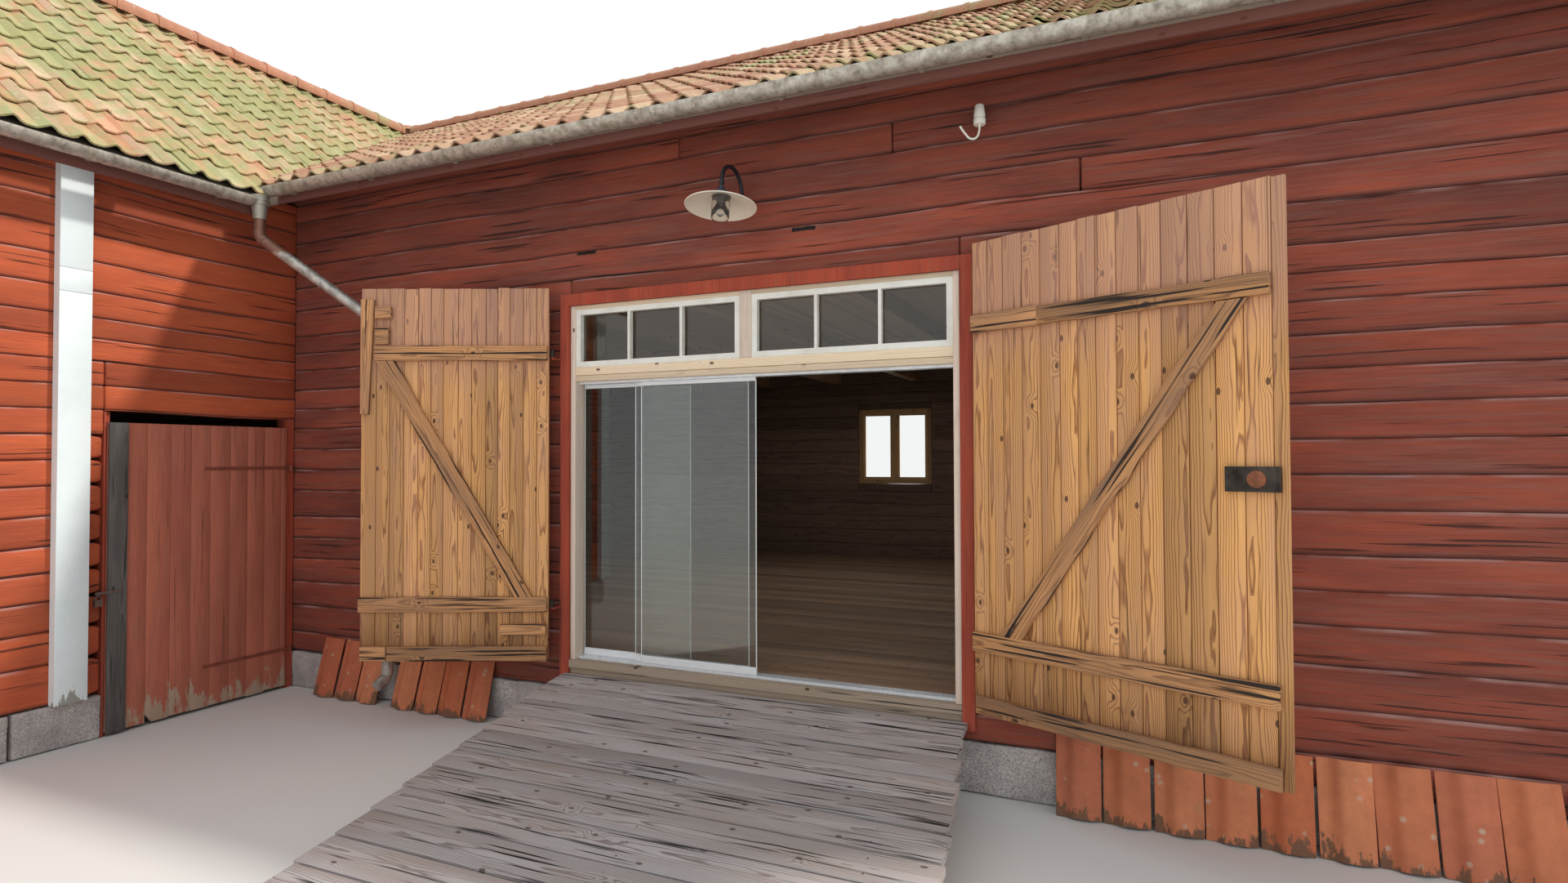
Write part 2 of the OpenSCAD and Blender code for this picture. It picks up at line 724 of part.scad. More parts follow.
// A gutter along +X from the origin, with its sleeves, end caps and hooks, that rises by its fall
module gutter_run(l) {
    sleeve = 60;
    hook_start = 200;
    rotate([0, -atan(fall), 0]) rotate([90, 0, 90]) union() {
        linear_extrude(l) gutter_profile(gutter_r, gutter_t);
        for (z = [gutter_section / 2:gutter_section:l - sleeve])
            translate([0, 0, z]) linear_extrude(sleeve) gutter_profile(gutter_r + gutter_t, 1.5 * gutter_t);
        for (z = [0, l - gutter_t])
            translate([0, 0, z]) linear_extrude(gutter_t) gutter_profile(gutter_r - gutter_t / 2, gutter_r);
        for (z = [hook_start:hook_step:l - hook_start])
            translate([0, 0, z]) gutter_hook(gutter_gap + fascia_back - fit_gap);
    }
}

module gutters() {
    main_x = wing_gutter_x + hopper_r / 2;
    wing_y = main_gutter_y - 2 * gutter_r;
    color(zinc) {
        translate([main_x, main_gutter_y, main_gutter_z]) gutter_run(verge_x - main_x);
        translate([wing_gutter_x, wing_y, wing_gutter_z]) rotate([0, 0, -90]) mirror([0, 1, 0])
            gutter_run(wing_y - verge_y);
    }
}

// The downpipe's route: hopper, slanting pipe to the wall, upright pipe and foot
hopper_h = 200;
hopper_r = gutter_r + gutter_gap - 4;
hopper_at = [wing_gutter_x, main_gutter_y - 60, main_gutter_z - gutter_r - hopper_h - 8];
pipe_x = -yard_wall_x + 1325;
pipe_y = -110;
pipe_bend = hopper_at - [0, 0, 150];
pipe_wall = [pipe_x, pipe_y, 3190];
pipe_foot = [pipe_x, pipe_y, 250];
pipe_end = pipe_foot + [0, -110, -60];
pipe_clips = [2600, 900];
bend_r = 75;
bead = 4;

module pipe_between(a, b, r) {
    d = b - a;
    l = norm(d);
    translate(a) rotate([0, acos(d[2] / l), atan2(d[1], d[0])]) cylinder(h = l, r = r);
}

function way(a, b) = (b - a) / norm(b - a);
function bend_back(d0, d1) = bend_r * tan(acos(d0 * d1) / 2);

// A bend round corner p from direction d0 to direction d1, with a bead at each end
module elbow(p, d0, d1) {
    n = cross(d0, d1) / norm(cross(d0, d1));
    side = cross(n, d0);
    back = bend_back(d0, d1);
    c = p - back * d0 + bend_r * side;
    multmatrix([[-side[0], d0[0], n[0], c[0]], [-side[1], d0[1], n[1], c[1]],
                [-side[2], d0[2], n[2], c[2]], [0, 0, 0, 1]])
        rotate_extrude(angle = acos(d0 * d1)) translate([bend_r, 0]) circle(r = pipe_r);
    pipe_between(p - (back + 18) * d0, p - (back - 18) * d0, pipe_r + bead);
    pipe_between(p + (back - 18) * d1, p + (back + 18) * d1, pipe_r + bead);
}

module downpipe() {
    down = [0, 0, -1];
    slant = way(pipe_bend, pipe_wall);
    out = way(pipe_foot, pipe_end);
    collar_h = 80;
    ring_h = 12;
    color(zinc) union() {
        translate(hopper_at) {
            cylinder(h = hopper_h - collar_h, r1 = pipe_r + bead, r2 = hopper_r - 3 * bead);
            translate([0, 0, hopper_h - collar_h]) cylinder(h = collar_h, r = hopper_r - bead);
            for (z = [hopper_h - collar_h, hopper_h - (collar_h + ring_h) / 2, hopper_h - ring_h])
                translate([0, 0, z]) cylinder(h = ring_h, r = hopper_r);
        }
        pipe_between(hopper_at, pipe_bend - bend_back(down, slant) * down, pipe_r);
        elbow(pipe_bend, down, slant);
        pipe_between(pipe_bend + bend_back(down, slant) * slant, pipe_wall - bend_back(slant, down) * slant, pipe_r);
        elbow(pipe_wall, slant, down);
        pipe_between(pipe_wall + bend_back(slant, down) * down, pipe_foot - bend_back(down, out) * down, pipe_r);
        elbow(pipe_foot, down, out);
        pipe_between(pipe_foot + bend_back(down, out) * out, pipe_end, pipe_r);
        for (z = pipe_clips) {
            block([pipe_x - 20, pipe_y, z], [pipe_x + 20, -fit_gap, z + 25]);
            translate([pipe_x, pipe_y, z]) cylinder(h = 25, r = pipe_r + bead);
        }
    }
}

// Red posts and header around the doorway, with the pintles that carry the leaves
module door_casing() {
    post_bottom = plinth_h + 60;
    color(sunlit_red) {
        for (side = [0, 1]) mirror([side, 0, 0]) union() {
            block([casing_in, -casing_proud, post_bottom], [casing_out, -fit_gap, header_z - fit_gap]);
            for (z = pintle_heights) {
                translate([pin_x, pin_y, z - 45]) cylinder(h = 75, r = pin_r);
                block([pin_x - pin_r - 10, pin_y, z - 45], [pin_x + pin_r, -fit_gap, z - 33]);
            }
        }
        block([-casing_out, -casing_proud, header_z], [casing_out, -fit_gap, header_z + header_h]);
    }
}

upper_ledge_z = leaf_z + 2295;
lower_ledge_z = leaf_z + 372;
pintle_heights = [lower_ledge_z + ledge_h / 2, upper_ledge_z + ledge_h / 2];

module door_frame() {
    y1 = post_d;
    color(pale_pine) union() {
        block([-casing_in + fit_gap, 0, threshold_z], [-frame_in, y1, header_z - fit_gap]);
        block([frame_in, 0, threshold_z], [casing_in - fit_gap, y1, header_z - fit_gap]);
        block([-frame_in, 0, transom_z], [frame_in, y1, transom_z + transom_h]);
        block([-mullion_w / 2, 0, transom_z + transom_h], [mullion_w / 2, y1, header_z - fit_gap]);
        block([-frame_in, 0, header_z - 30], [frame_in, y1, header_z - fit_gap]);
    }
}

module threshold() {
    color(grey_wood) union() {
        block([-casing_in, 0, plinth_h], [casing_in, log_t - fit_gap, threshold_z - 60]);
        block([-casing_in, -20, threshold_z - 60], [casing_in, log_t - fit_gap, threshold_z - fit_gap]);
    }
}

sash_z = transom_z + transom_h + fit_gap;
sash_h = header_z - 30 - fit_gap - sash_z;
sash_in = mullion_w / 2 + fit_gap;
sash_out = frame_in - fit_gap;

module transom_sashes() {
    w = sash_out - sash_in;
    bar = 22;
    color(white_paint) for (s = [-1, 1]) difference() {
        block([s > 0 ? sash_in : -sash_out, 10, sash_z], [s > 0 ? sash_out : -sash_in, 10 + sash_d, sash_z + sash_h]);
        for (i = [0:2])
            let (pane = (w - 2 * sash_w - 2 * bar) / 3, x = (s > 0 ? sash_in : -sash_out) + sash_w + i * (pane + bar))
            block([x, 0, sash_z + sash_w], [x + pane, 20 + sash_d, sash_z + sash_h - sash_w]);
    }
}

module transom_glass() {
    t = 4;
    color(glass) for (s = [-1, 1]) {
        block([s > 0 ? sash_in + 20 : -sash_out + 20, 10 + sash_d + fit_gap, sash_z + 20],
              [s > 0 ? sash_out - 20 : -sash_in - 20, 10 + sash_d + fit_gap + t, sash_z + sash_h - 20]);
    }
}

module glass_tracks() {
    d = 3 * panel_step + 4;
    color(zinc) {
        block([-frame_in + fit_gap, glass_y - panel_step / 2, threshold_z], [frame_in - fit_gap, glass_y - panel_step / 2 + d, threshold_z + track_h]);
        block([-frame_in + fit_gap, glass_y - panel_step / 2, transom_z - 20], [frame_in - fit_gap, glass_y - panel_step / 2 + d, transom_z - fit_gap]);
    }
}

// A glass panel with its bottom and top rail; the first track is the foremost one
module glass_panel(x, track) {
    y = glass_y + track * panel_step;
    color(glass) union() {
        block([x, y - glass_t / 2, panel_z], [x + panel_w, y + glass_t / 2, panel_z + panel_h]);
        block([x, y - 10, panel_z], [x + panel_w, y + 10, panel_z + rail_h]);
        block([x, y - 10, panel_z + panel_h - 30], [x + panel_w, y + 10, panel_z + panel_h]);
    }
}

module glass_panel_fixed() {
    glass_panel(-frame_in + 12, 2);
}

module glass_panel_middle() {
    glass_panel(middle_x, 1);
}

module glass_panel_lead() {
    glass_panel(lead_x, 0);
}

// Depth of the V-shaped groove between two boards
groove = 4;

// Outline of n grooved boards from x0 to x1, with their faces at y0 and y1
module grooved(x0, x1, n, y0, y1) {
    xs = [for (i = [1:n - 1]) x0 + i * (x1 - x0) / n];
    polygon(concat([[x0, y0]],
        [for (x = xs) each [[x - groove, y0], [x, y0 + groove], [x + groove, y0]]],
        [[x1, y0], [x1, y1]],
        [for (x = reverse(xs)) each [[x + groove, y1], [x, y1 - groove], [x - groove, y1]]],
        [[x0, y1]]));
}

// Boards of a leaf, drawn closed with the pin at the origin and the leaf along +X;
// the outer face looks towards -Y
module leaf_boards(w) {
    n = round((w - leaf_side_gap) / leaf_board_w);
    translate([0, 0, leaf_z]) linear_extrude(leaf_h)
        grooved(leaf_side_gap, w, n, leaf_out_y - pin_y, leaf_in_y - pin_y);
}

// A board on a leaf's inner face, between two x values and two heights above its underside
module on_leaf(x0, x1, z0, z1, t) {
    y0 = leaf_in_y - pin_y;
    block([x0, y0, leaf_z + z0], [x1, y0 + t, leaf_z + z1]);
}

// A board with sloping ends or edges on a leaf's inner face
module sloping_on_leaf(outline) {
    y1 = leaf_in_y - pin_y + ledge_t;
    translate([0, y1, leaf_z]) rotate([90, 0, 0]) linear_extrude(ledge_t) polygon(outline);
}

// Two ledges, the bottom board and the brace between the ledges
module leaf_ledges(upper_end, lower_end, bottom_end, brace_low, brace_high, brace_w) {
    x0 = leaf_side_gap + 5;
    low = lower_ledge_z - leaf_z;
    high = upper_ledge_z - leaf_z;
    on_leaf(x0, upper_end, high, high + ledge_h, ledge_t);
    on_leaf(x0, lower_end, low, low + ledge_h, ledge_t);
    on_leaf(x0, bottom_end, 0, ledge_h, ledge_t);
    sloping_on_leaf([[brace_low, low + ledge_h], [brace_low + brace_w, low + ledge_h],
                     [brace_high + brace_w, high], [brace_high, high]]);
}

// Strap hinges on the leaf's outer face, with eyes round the pintles
module leaf_irons(w) {
    for (z = pintle_heights) difference() {
        union() {
            translate([0, 0, z - 30]) cylinder(h = 60, r = eye_r);
            block([0, leaf_out_y - pin_y - strap_t, z - 25], [w * 0.55, leaf_out_y - pin_y, z + 25]);
        }
        translate([0, 0, z - 40]) cylinder(h = 80, r = pin_r + 0.5);
    }
}

module left_leaf_boards() {
    color(pine) swing_left() leaf_boards(left_leaf_w);
}

// Besides its ledges the left leaf has a short end of bottom board, a patch, a tapering
// batten at the free edge and two blocks
module left_leaf_ledges() {
    w = left_leaf_w;
    color(pale_pine) swing_left() {
        union() leaf_ledges(w - 132, w - 19, w - 239, 134, w - 285, 145);
        on_leaf(w - 235, w - 35, 0, ledge_h, ledge_t);
        on_leaf(30, 383, 200, 283, ledge_t / 2);
        sloping_on_leaf([[w - 91, 1885], [w - 29, 1885], [w - 23, 2770], [w - 125, 2770]]);
        on_leaf(w - 262, w - 136, 2619, 2713, ledge_t);
        on_leaf(w - 244, w - 137, 2424, 2556, ledge_t);
    }
}

module left_leaf_irons() {
    color(iron) swing_left() leaf_irons(left_leaf_w);
}

// The right leaf's free edge slopes, with a tapering batten beside the last board
module right_leaf_boards() {
    w = right_leaf_w;
    color(pine) swing_right() {
        leaf_boards(w - 58);
        translate([0, leaf_in_y - pin_y, leaf_z]) rotate([90, 0, 0]) linear_extrude(board_t)
            polygon([[w - 57, 0], [w, 0], [w - 45, leaf_h], [w - 57, leaf_h]]);
    }
}

module right_leaf_ledges() {
    w = right_leaf_w;
    color(pale_pine) swing_right() union() leaf_ledges(w - 60, w - 40, w - 40, 219, w - 290, 135);
}

// The right leaf also carries a box latch on its inner face
module right_leaf_irons() {
    w = right_leaf_w;
    color(iron) swing_right() {
        leaf_irons(w);
        on_leaf(w - 264, w - 28, 1375, 1495, ledge_t);
    }
}

// Wing door: boards with a ledged back and a batten along the free edge, closed along
// the yard wall
wing_door_x = wing_pin_x - 5;
wing_door_y = [-wing_jamb - wing_door_w, -wing_jamb];
batten_w = 130;
batten_t = 22;

module wing_door_boards() {
    x0 = wing_door_x - wing_door_t;
    color(sunlit_red) union() {
        translate([wing_door_x, 0, wing_door_z]) rotate([0, 0, 90]) linear_extrude(wing_door_h)
            grooved(wing_door_y[0], wing_door_y[1], wing_boards, 0, wing_door_t);
        for (z = wing_hinges)
            block([x0 - ledge_t, wing_door_y[0] + 40, z - ledge_h / 2], [x0, wing_door_y[1] - 40, z + ledge_h / 2]);
        block([wing_door_x, wing_door_y[0], wing_door_z],
              [wing_door_x + batten_t, wing_door_y[0] + batten_w, wing_door_z + wing_door_h]);
    }
}

// Strap hinges with eyes round the pintles, and a hasp with its padlock
module wing_door_irons() {
    strap_l = 760;
    strap_h = 28;
    hasp = [wing_door_x + batten_t, wing_door_y[0] - 85, 1085];
    color(iron) {
        for (z = wing_hinges) difference() {
            union() {
                translate([wing_pin_x, wing_pin_y, z - 25]) cylinder(h = 50, r = 12);
                block([wing_pin_x - 5, wing_pin_y - strap_l, z - strap_h / 2],
                      [wing_pin_x, wing_pin_y, z + strap_h / 2]);
            }
            translate([wing_pin_x, wing_pin_y, z - 40]) cylinder(h = 80, r = 6.5);
        }
        union() {
            block(hasp, hasp + [5, 190, 18]);
            difference() {
                translate(hasp + [-9, 24, -30]) rotate([0, 90, 0]) cylinder(h = 8, r = 24);
                translate(hasp + [-10, 24, -30]) rotate([0, 90, 0]) cylinder(h = 10, r = 15);
            }
            block(hasp + [-17, 0, -90], hasp + [7, 48, -42]);
            block(hasp + [-9, 14, -12], hasp + [1, 34, 4]);
        }
    }
}

// Posts round the wing's door, with the pintles that carry it
module wing_door_frame() {
    x0 = -yard_wall_x - log_t;
    x1 = -yard_wall_x - 10;
    stop_x = wing_door_x - wing_door_t - 6;
    far_y = wing_door_far_y + fit_gap;
    color(sunlit_red) union() {
        block([x0, 10 - wing_jamb, 0], [x1, -plinth_out - fit_gap, lintel_z - fit_gap]);
        block([x0, far_y, 0], [x1, wing_door_y[0] - 6, lintel_z - fit_gap]);
        block([x0, far_y, 0], [stop_x, wing_door_y[0] + 30, lintel_z - fit_gap]);
        for (z = wing_hinges) {
            translate([wing_pin_x, wing_pin_y, z - 40]) cylinder(h = 65, r = 6);
            block([x1 - 1, wing_pin_y - 5, z - 40], [wing_pin_x + 4, wing_pin_y + 5, z - 30]);
        }
    }
}

// White boxes of boards over the log ends at the wing's cross walls
module corner_boxes() {
    color(white_paint) for (y = [-box_y, -wing_length + log_t / 2]) white_box(y);
}

box_t = 22;

// One box: a front board, two side boards and a cap, open towards the logs
module white_box(y) {
    x0 = -yard_wall_x + fit_gap;
    x1 = -yard_wall_x + box_proud;
    z0 = plinth_h + fit_gap;
    // The cap lies over the topmost log end
    z1 = wing_top + stub_gap;
    y0 = y - box_w / 2;
    y1 = y + box_w / 2;
    union() {
        block([x1 - box_t, y0, z0], [x1, y1, z1]);
        block([x0, y0, z0], [x1 - box_t, y0 + box_t, z1]);
        block([x0, y1 - box_t, z0], [x1 - box_t, y1, z1]);
        block([x0, y0, z1], [x1, y1, z1 + box_t]);
    }
}

bearer_w = 80;
bearer_inset = 365;

// Planks on three bearers that fall from the doorway to the ground
module ramp() {
    depth = ramp_planks * plank_step;
    y0 = -casing_proud - 10;
    fall = (ramp_z - plank_t - 10) / depth;
    slope = atan(fall);
    under_z = ramp_z - plank_t / cos(slope) - fit_gap;
    // The bearers butt against the plinth
    seat_y = -plinth_out - fit_gap;
    color(grey_wood) {
        for (i = [0:ramp_planks - 1]) let (d = i * plank_step)
            translate([ramp_skew * d, y0 - d, ramp_z - d * fall]) rotate([slope, 0, 0])
                translate([-ramp_w / 2, -plank_w, -plank_t]) cube([ramp_w, plank_w, plank_t]);
        for (x = [-1, 0, 1] * (ramp_w / 2 - bearer_inset))
            intersection() {
                translate([x - ramp_w, 0, 0]) rotate([90, 0, 90]) linear_extrude(2 * ramp_w)
                    polygon([[seat_y, 0], [seat_y, under_z + (seat_y - y0) * fall],
                        [y0 - depth, under_z - depth * fall], [y0 - depth, 0]]);
                linear_extrude(ramp_z) polygon([[x - bearer_w / 2, seat_y], [x + bearer_w / 2, seat_y],
                    [x + bearer_w / 2 + ramp_skew * depth, y0 - depth],
                    [x - bearer_w / 2 + ramp_skew * depth, y0 - depth]]);
            }
    }
}

skirt_tile_w = 250;
skirt_step = skirt_tile_w + 12;
// Outer edges of the pantile skirts, left and right of the ramp
skirt_left_x = -yard_wall_x + 435;
skirt_right_x = 2080;
// The tiles lean on the sill log, below its upper seam
skirt_h = logs_z - seam_h - 5;

// Pantiles stood on end against the sill, beside the ramp, with a gap at the downpipe
module tile_skirt() {
    gap_x = pipe_x + pipe_r + 15;
    before = floor((pipe_x - pipe_r - 15 - skirt_left_x) / skirt_step);
    after = floor((-casing_out - 400 - gap_x) / skirt_step);
    last = floor((right_x - 20 - skirt_right_x) / skirt_step);
    color(terracotta) {
        for (i = [0:before - 1]) skirt_tile(skirt_left_x + i * skirt_step);
        for (i = [0:after - 1]) skirt_tile(gap_x + i * skirt_step);
        for (i = [0:last - 1]) skirt_tile(skirt_right_x + i * skirt_step);
    }
}

// One pantile with its S-shaped section, its foot on the ground and its top on the sill
module skirt_tile(x) {
    foot = 130;
    lean = atan((foot - fit_gap) / skirt_h);
    t = 14;
    wave = [[0, 0], [50, 0], [105, -42], [185, -42], [skirt_tile_w, -8]];
    translate([x, -foot, 0]) rotate([-lean, 0, 0]) linear_extrude(skirt_h / cos(lean))
        polygon(concat(wave, [for (p = reverse(wave)) p + [0, -t]]));
}

// Gooseneck lamp: wall plate, arm, and a shallow shade with a glass jar, tilted outwards
module lamp() {
    arm_r = 14;
    arm_in = 45;
    arc_r = (lamp_out - arm_in) / 2;
    neck_z = lamp_z + 120;
    arc_z = neck_z + 40;
    plate_z = neck_z + 10;
    tilt = 7;
    shade_h = 72;
    shade_t = 3;
    jar_r = 62;
    color(iron) union() {
        translate([0, -6, plate_z]) rotate([-90, 0, 0]) cylinder(h = 6 - fit_gap, r = 40);
        pipe_between([0, -6, plate_z], [0, -arm_in, plate_z], arm_r - 2);
        pipe_between([0, -arm_in, plate_z - 20], [0, -arm_in, arc_z], arm_r);
        translate([0, -arm_in - arc_r, arc_z]) rotate([90, 0, 90])
            rotate_extrude(angle = 180) translate([arc_r, 0]) circle(r = arm_r);
        for (y = [-arm_in, -lamp_out])
            translate([0, y, arc_z - 8]) cylinder(h = 16, r = arm_r + 3);
        pipe_between([0, -lamp_out, neck_z - 10], [0, -lamp_out, arc_z], arm_r);
        translate([0, -lamp_out, neck_z]) rotate([-tilt, 0, 0]) {
            translate([0, 0, -50]) cylinder(h = 50, r1 = 58, r2 = 30);
            difference() {
                translate([0, 0, -50 - shade_h]) cylinder(h = shade_h, r1 = lamp_r, r2 = 50);
                translate([0, 0, -50 - shade_h - 2 * shade_t]) cylinder(h = shade_h, r1 = lamp_r, r2 = 50);
            }
            translate([0, 0, -50 - shade_h]) rotate_extrude() translate([lamp_r - 2, 0]) circle(r = 2 * shade_t);
            translate([0, 0, -205]) cylinder(h = 151, r = jar_r - 6);
            translate([0, 0, -240]) cylinder(h = 35, r1 = 20, r2 = jar_r);
            translate([0, 0, -205]) cylinder(h = 10, r = jar_r);
        }
    }
}

module insulator() {
    color(white_paint) union() {
        translate([1658, -60, 4165]) cylinder(h = 125, r1 = 38, r2 = 26);
        translate([1658 - 8, -60, 4200]) cube([16, 60 - fit_gap, 16]);
        pipe_between([1658, -60, 4165], [1620, -70, 4085], 7);
        translate([1620, -70, 4085]) sphere(r = 9);
        pipe_between([1620, -70, 4085], [1545, -110, 4160], 7);
    }
}

module back_window_frame() {
    f = 60;
    y0 = main_depth - log_t + 30;
    x0 = back_window_x - back_window / 2 + fit_gap;
    x1 = back_window_x + back_window / 2 - fit_gap;
    z0 = back_window_z + fit_gap;
    z1 = back_window_z + back_window - fit_gap;
    color(pale_pine) union() {
        difference() {
            block([x0, y0, z0], [x1, y0 + 70, z1]);
            block([x0 + f, y0 - 10, z0 + f], [back_window_x - f / 2, y0 + 80, z1 - f]);
            block([back_window_x + f / 2, y0 - 10, z0 + f], [x1 - f, y0 + 80, z1 - f]);
        }
        block([x0 + f - 5, y0 + 33, z0 + f - 5], [x1 - f + 5, y0 + 37, z1 - f + 5]);
    }
}

plinth();
floor();
ceiling();
front_wall_left();
front_wall_right();
front_wall_over_door();
right_gable_wall();
back_wall();
left_wall();
wing_wall();
wing_wall_over_door();
wing_gable_wall();
roof_main_front();
roof_main_back();
roof_wing_right();
roof_wing_left();
ridge_tiles();
rafters();
eaves_boards();
gutters();
downpipe();
door_casing();
door_frame();
threshold();
transom_sashes();
transom_glass();
glass_tracks();
glass_panel_fixed();
glass_panel_middle();
glass_panel_lead();
left_leaf_boards();
left_leaf_ledges();
left_leaf_irons();
right_leaf_boards();
right_leaf_ledges();
right_leaf_irons();
wing_door_boards();
wing_door_irons();
wing_door_frame();
corner_boxes();
ramp();
tile_skirt();
lamp();
insulator();
back_window_frame();
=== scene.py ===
# %% [markdown]
# # A red log barn
# A main range of hewn logs, with a wide plank-leaved doorway, and a wing that runs towards
# the viewer at its left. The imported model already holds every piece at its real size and
# place. This lesson gives the pieces their surface, from big to small, so that each cell
# can be looked at alone.

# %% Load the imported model
import json
import math
import random

import bmesh
import bpy
import numpy as np
from mathutils import Matrix, Vector


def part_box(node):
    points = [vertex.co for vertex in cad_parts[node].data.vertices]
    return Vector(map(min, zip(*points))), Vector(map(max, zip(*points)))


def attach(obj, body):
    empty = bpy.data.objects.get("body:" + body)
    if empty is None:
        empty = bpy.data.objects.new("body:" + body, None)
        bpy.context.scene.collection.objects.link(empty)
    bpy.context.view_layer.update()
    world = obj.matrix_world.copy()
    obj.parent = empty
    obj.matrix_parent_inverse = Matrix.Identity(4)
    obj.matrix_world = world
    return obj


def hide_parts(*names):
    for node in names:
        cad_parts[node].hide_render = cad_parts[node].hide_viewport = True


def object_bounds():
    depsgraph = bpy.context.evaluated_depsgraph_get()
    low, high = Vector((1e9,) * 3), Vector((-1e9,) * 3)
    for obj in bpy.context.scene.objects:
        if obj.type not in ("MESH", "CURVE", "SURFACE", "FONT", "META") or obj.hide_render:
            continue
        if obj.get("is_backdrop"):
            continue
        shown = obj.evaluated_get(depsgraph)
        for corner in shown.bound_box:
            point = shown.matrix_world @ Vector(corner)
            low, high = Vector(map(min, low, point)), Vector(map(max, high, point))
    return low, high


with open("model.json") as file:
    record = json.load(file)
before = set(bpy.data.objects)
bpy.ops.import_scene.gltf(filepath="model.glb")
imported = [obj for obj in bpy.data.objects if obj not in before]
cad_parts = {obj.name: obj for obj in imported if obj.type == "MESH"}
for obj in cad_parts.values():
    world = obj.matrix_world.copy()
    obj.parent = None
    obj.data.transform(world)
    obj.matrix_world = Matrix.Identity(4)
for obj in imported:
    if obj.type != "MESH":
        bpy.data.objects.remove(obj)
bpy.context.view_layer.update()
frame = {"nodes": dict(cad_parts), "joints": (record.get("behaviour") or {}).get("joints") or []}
nodes = frame["nodes"]
chance = random.Random(7)


def shift(x, y, z):
    return Matrix.Translation((x, y, z))


def turn(axis, angle):
    return Matrix.Rotation(angle, 4, axis)


# %% [markdown]
# ## Camera
# The picture was taken standing on the yard, a little right of the doorway and turned
# towards the inner corner. A wide lens and an eye height of two metres give the same
# perspective.

# %% Camera
picture_w = 1920
focal_px = 1005
eye = Vector((2.555, -5.2, 2.1))
turn_left, look_up, roll = (math.radians(angle) for angle in (23.47, 1.11, -0.19))
bpy.ops.object.camera_add(location=eye)
camera = bpy.context.object
camera.data.sensor_width = 36
camera.data.lens = 36 * focal_px / picture_w
camera.data.clip_end = 200
camera.matrix_world = shift(*eye) @ turn("Z", turn_left) @ turn("X", math.pi / 2 + look_up) @ turn("Z", roll)
bpy.context.scene.camera = camera
print("lens", round(camera.data.lens, 2), "mm")

# %% [markdown]
# ## A short language for finishes
# Every finish is a small node tree. These helpers add one node each and wire it at once,
# so that a finish reads as a recipe. A helper finds the tree from the socket it is given.
# Colours are written as 0 to 255, as a colour picker shows them, and turned into the
# linear values that the shader wants.

# %% Helpers for finishes
def paint(red, green, blue):
    linear = []
    for value in (red, green, blue):
        part = value / 255
        linear.append(part / 12.92 if part <= 0.04045 else ((part + 0.055) / 1.055) ** 2.4)
    return (*linear, 1)


def wire(tree, socket, value):
    if isinstance(value, bpy.types.NodeSocket):
        tree.links.new(value, socket)
    else:
        socket.default_value = value


def add(tree, kind, inputs, **settings):
    """Adds a node and returns its outputs; each input is a socket to wire or a value to set."""
    node = tree.nodes.new("ShaderNode" + kind)
    for key, value in settings.items():
        setattr(node, key, value)
    for socket, value in inputs.items():
        wire(tree, node.inputs[socket], value)
    return node.outputs


def place_of(tree):
    return add(tree, "TexCoord", {})["Object"]


def axes_of(vector):
    return add(vector.id_data, "SeparateXYZ", {0: vector})


def carried(tree, name):
    return add(tree, "Attribute", {}, attribute_name=name)["Vector" if name == "grain" else "Fac"]


def stretched(vector, scale, angles=(0, 0, 0), move=(0, 0, 0)):
    return add(vector.id_data, "Mapping",
               {"Vector": vector, "Scale": scale, "Rotation": angles, "Location": move})["Vector"]


def noise(vector, scale, detail=4, rough=0.55):
    return add(vector.id_data, "TexNoise",
               {"Vector": vector, "Scale": scale, "Detail": detail, "Roughness": rough})["Fac"]


def cells(vector, scale, **settings):
    """Voronoi cells: a distance from each cell's middle, and a random number for each cell."""
    found = add(vector.id_data, "TexVoronoi", {"Vector": vector, "Scale": scale}, **settings)
    return found["Distance"], add(vector.id_data, "SeparateColor", {0: found["Color"]})["Red"]


def ramp(value, *stops):
    node = value.id_data.nodes.new("ShaderNodeValToRGB")
    line = node.color_ramp
    while len(line.elements) < len(stops):
        line.elements.new(0.5)
    for element, (place, colour) in zip(line.elements, stops):
        element.position = place
        element.color = colour if isinstance(colour, tuple) else (colour, colour, colour, 1)
    wire(value.id_data, node.inputs["Fac"], value)
    return node.outputs["Color"]


def sums(operation, first, second, clamp=False):
    return add(first.id_data, "Math", {0: first, 1: second}, operation=operation, use_clamp=clamp)[0]


def times(first, second, clamp=False):
    return sums("MULTIPLY", first, second, clamp)


def plus(first, second):
    return sums("ADD", first, second)


def minus(first, second, clamp=False):
    return sums("SUBTRACT", first, second, clamp)


def above(first, second):
    return sums("GREATER_THAN", first, second)


def below(first, second):
    return sums("LESS_THAN", first, second)


def soft_map(value, end, low, high, kind, start=0):
    """Maps start to end onto low to high, with a gentle beginning and end."""
    return add(value.id_data, "MapRange", {"Value": value, "From Min": start, "From Max": end,
                                           "To Min": low, "To Max": high}, interpolation_type=kind)[0]


def blend(amount, first, second, mode="MIX"):
    """Mixes two colours; at least one of the three values is a socket."""
    tree = [v for v in (amount, first, second) if isinstance(v, bpy.types.NodeSocket)][0].id_data
    return add(tree, "Mix", {"Factor": amount, "A": first, "B": second}, data_type="RGBA",
               blend_type=mode)["Result"]


def relief(height, depth):
    return add(height.id_data, "Bump", {"Height": height, "Distance": depth, "Strength": 1})["Normal"]


def shader_of(material):
    return material.node_tree.nodes["Principled BSDF"].inputs


def colour_of(material):
    return shader_of(material)["Base Color"].links[0].from_socket


def new_finish(name, roughness=0.8):
    material = bpy.data.materials.new(name)
    material.use_nodes = True
    shader_of(material)["Roughness"].default_value = roughness
    return material


def put_on(material, colour, normal=None, roughness=None):
    for socket, value in (("Base Color", colour), ("Normal", normal), ("Roughness", roughness)):
        if value is not None:
            wire(material.node_tree, shader_of(material)[socket], value)
    return material


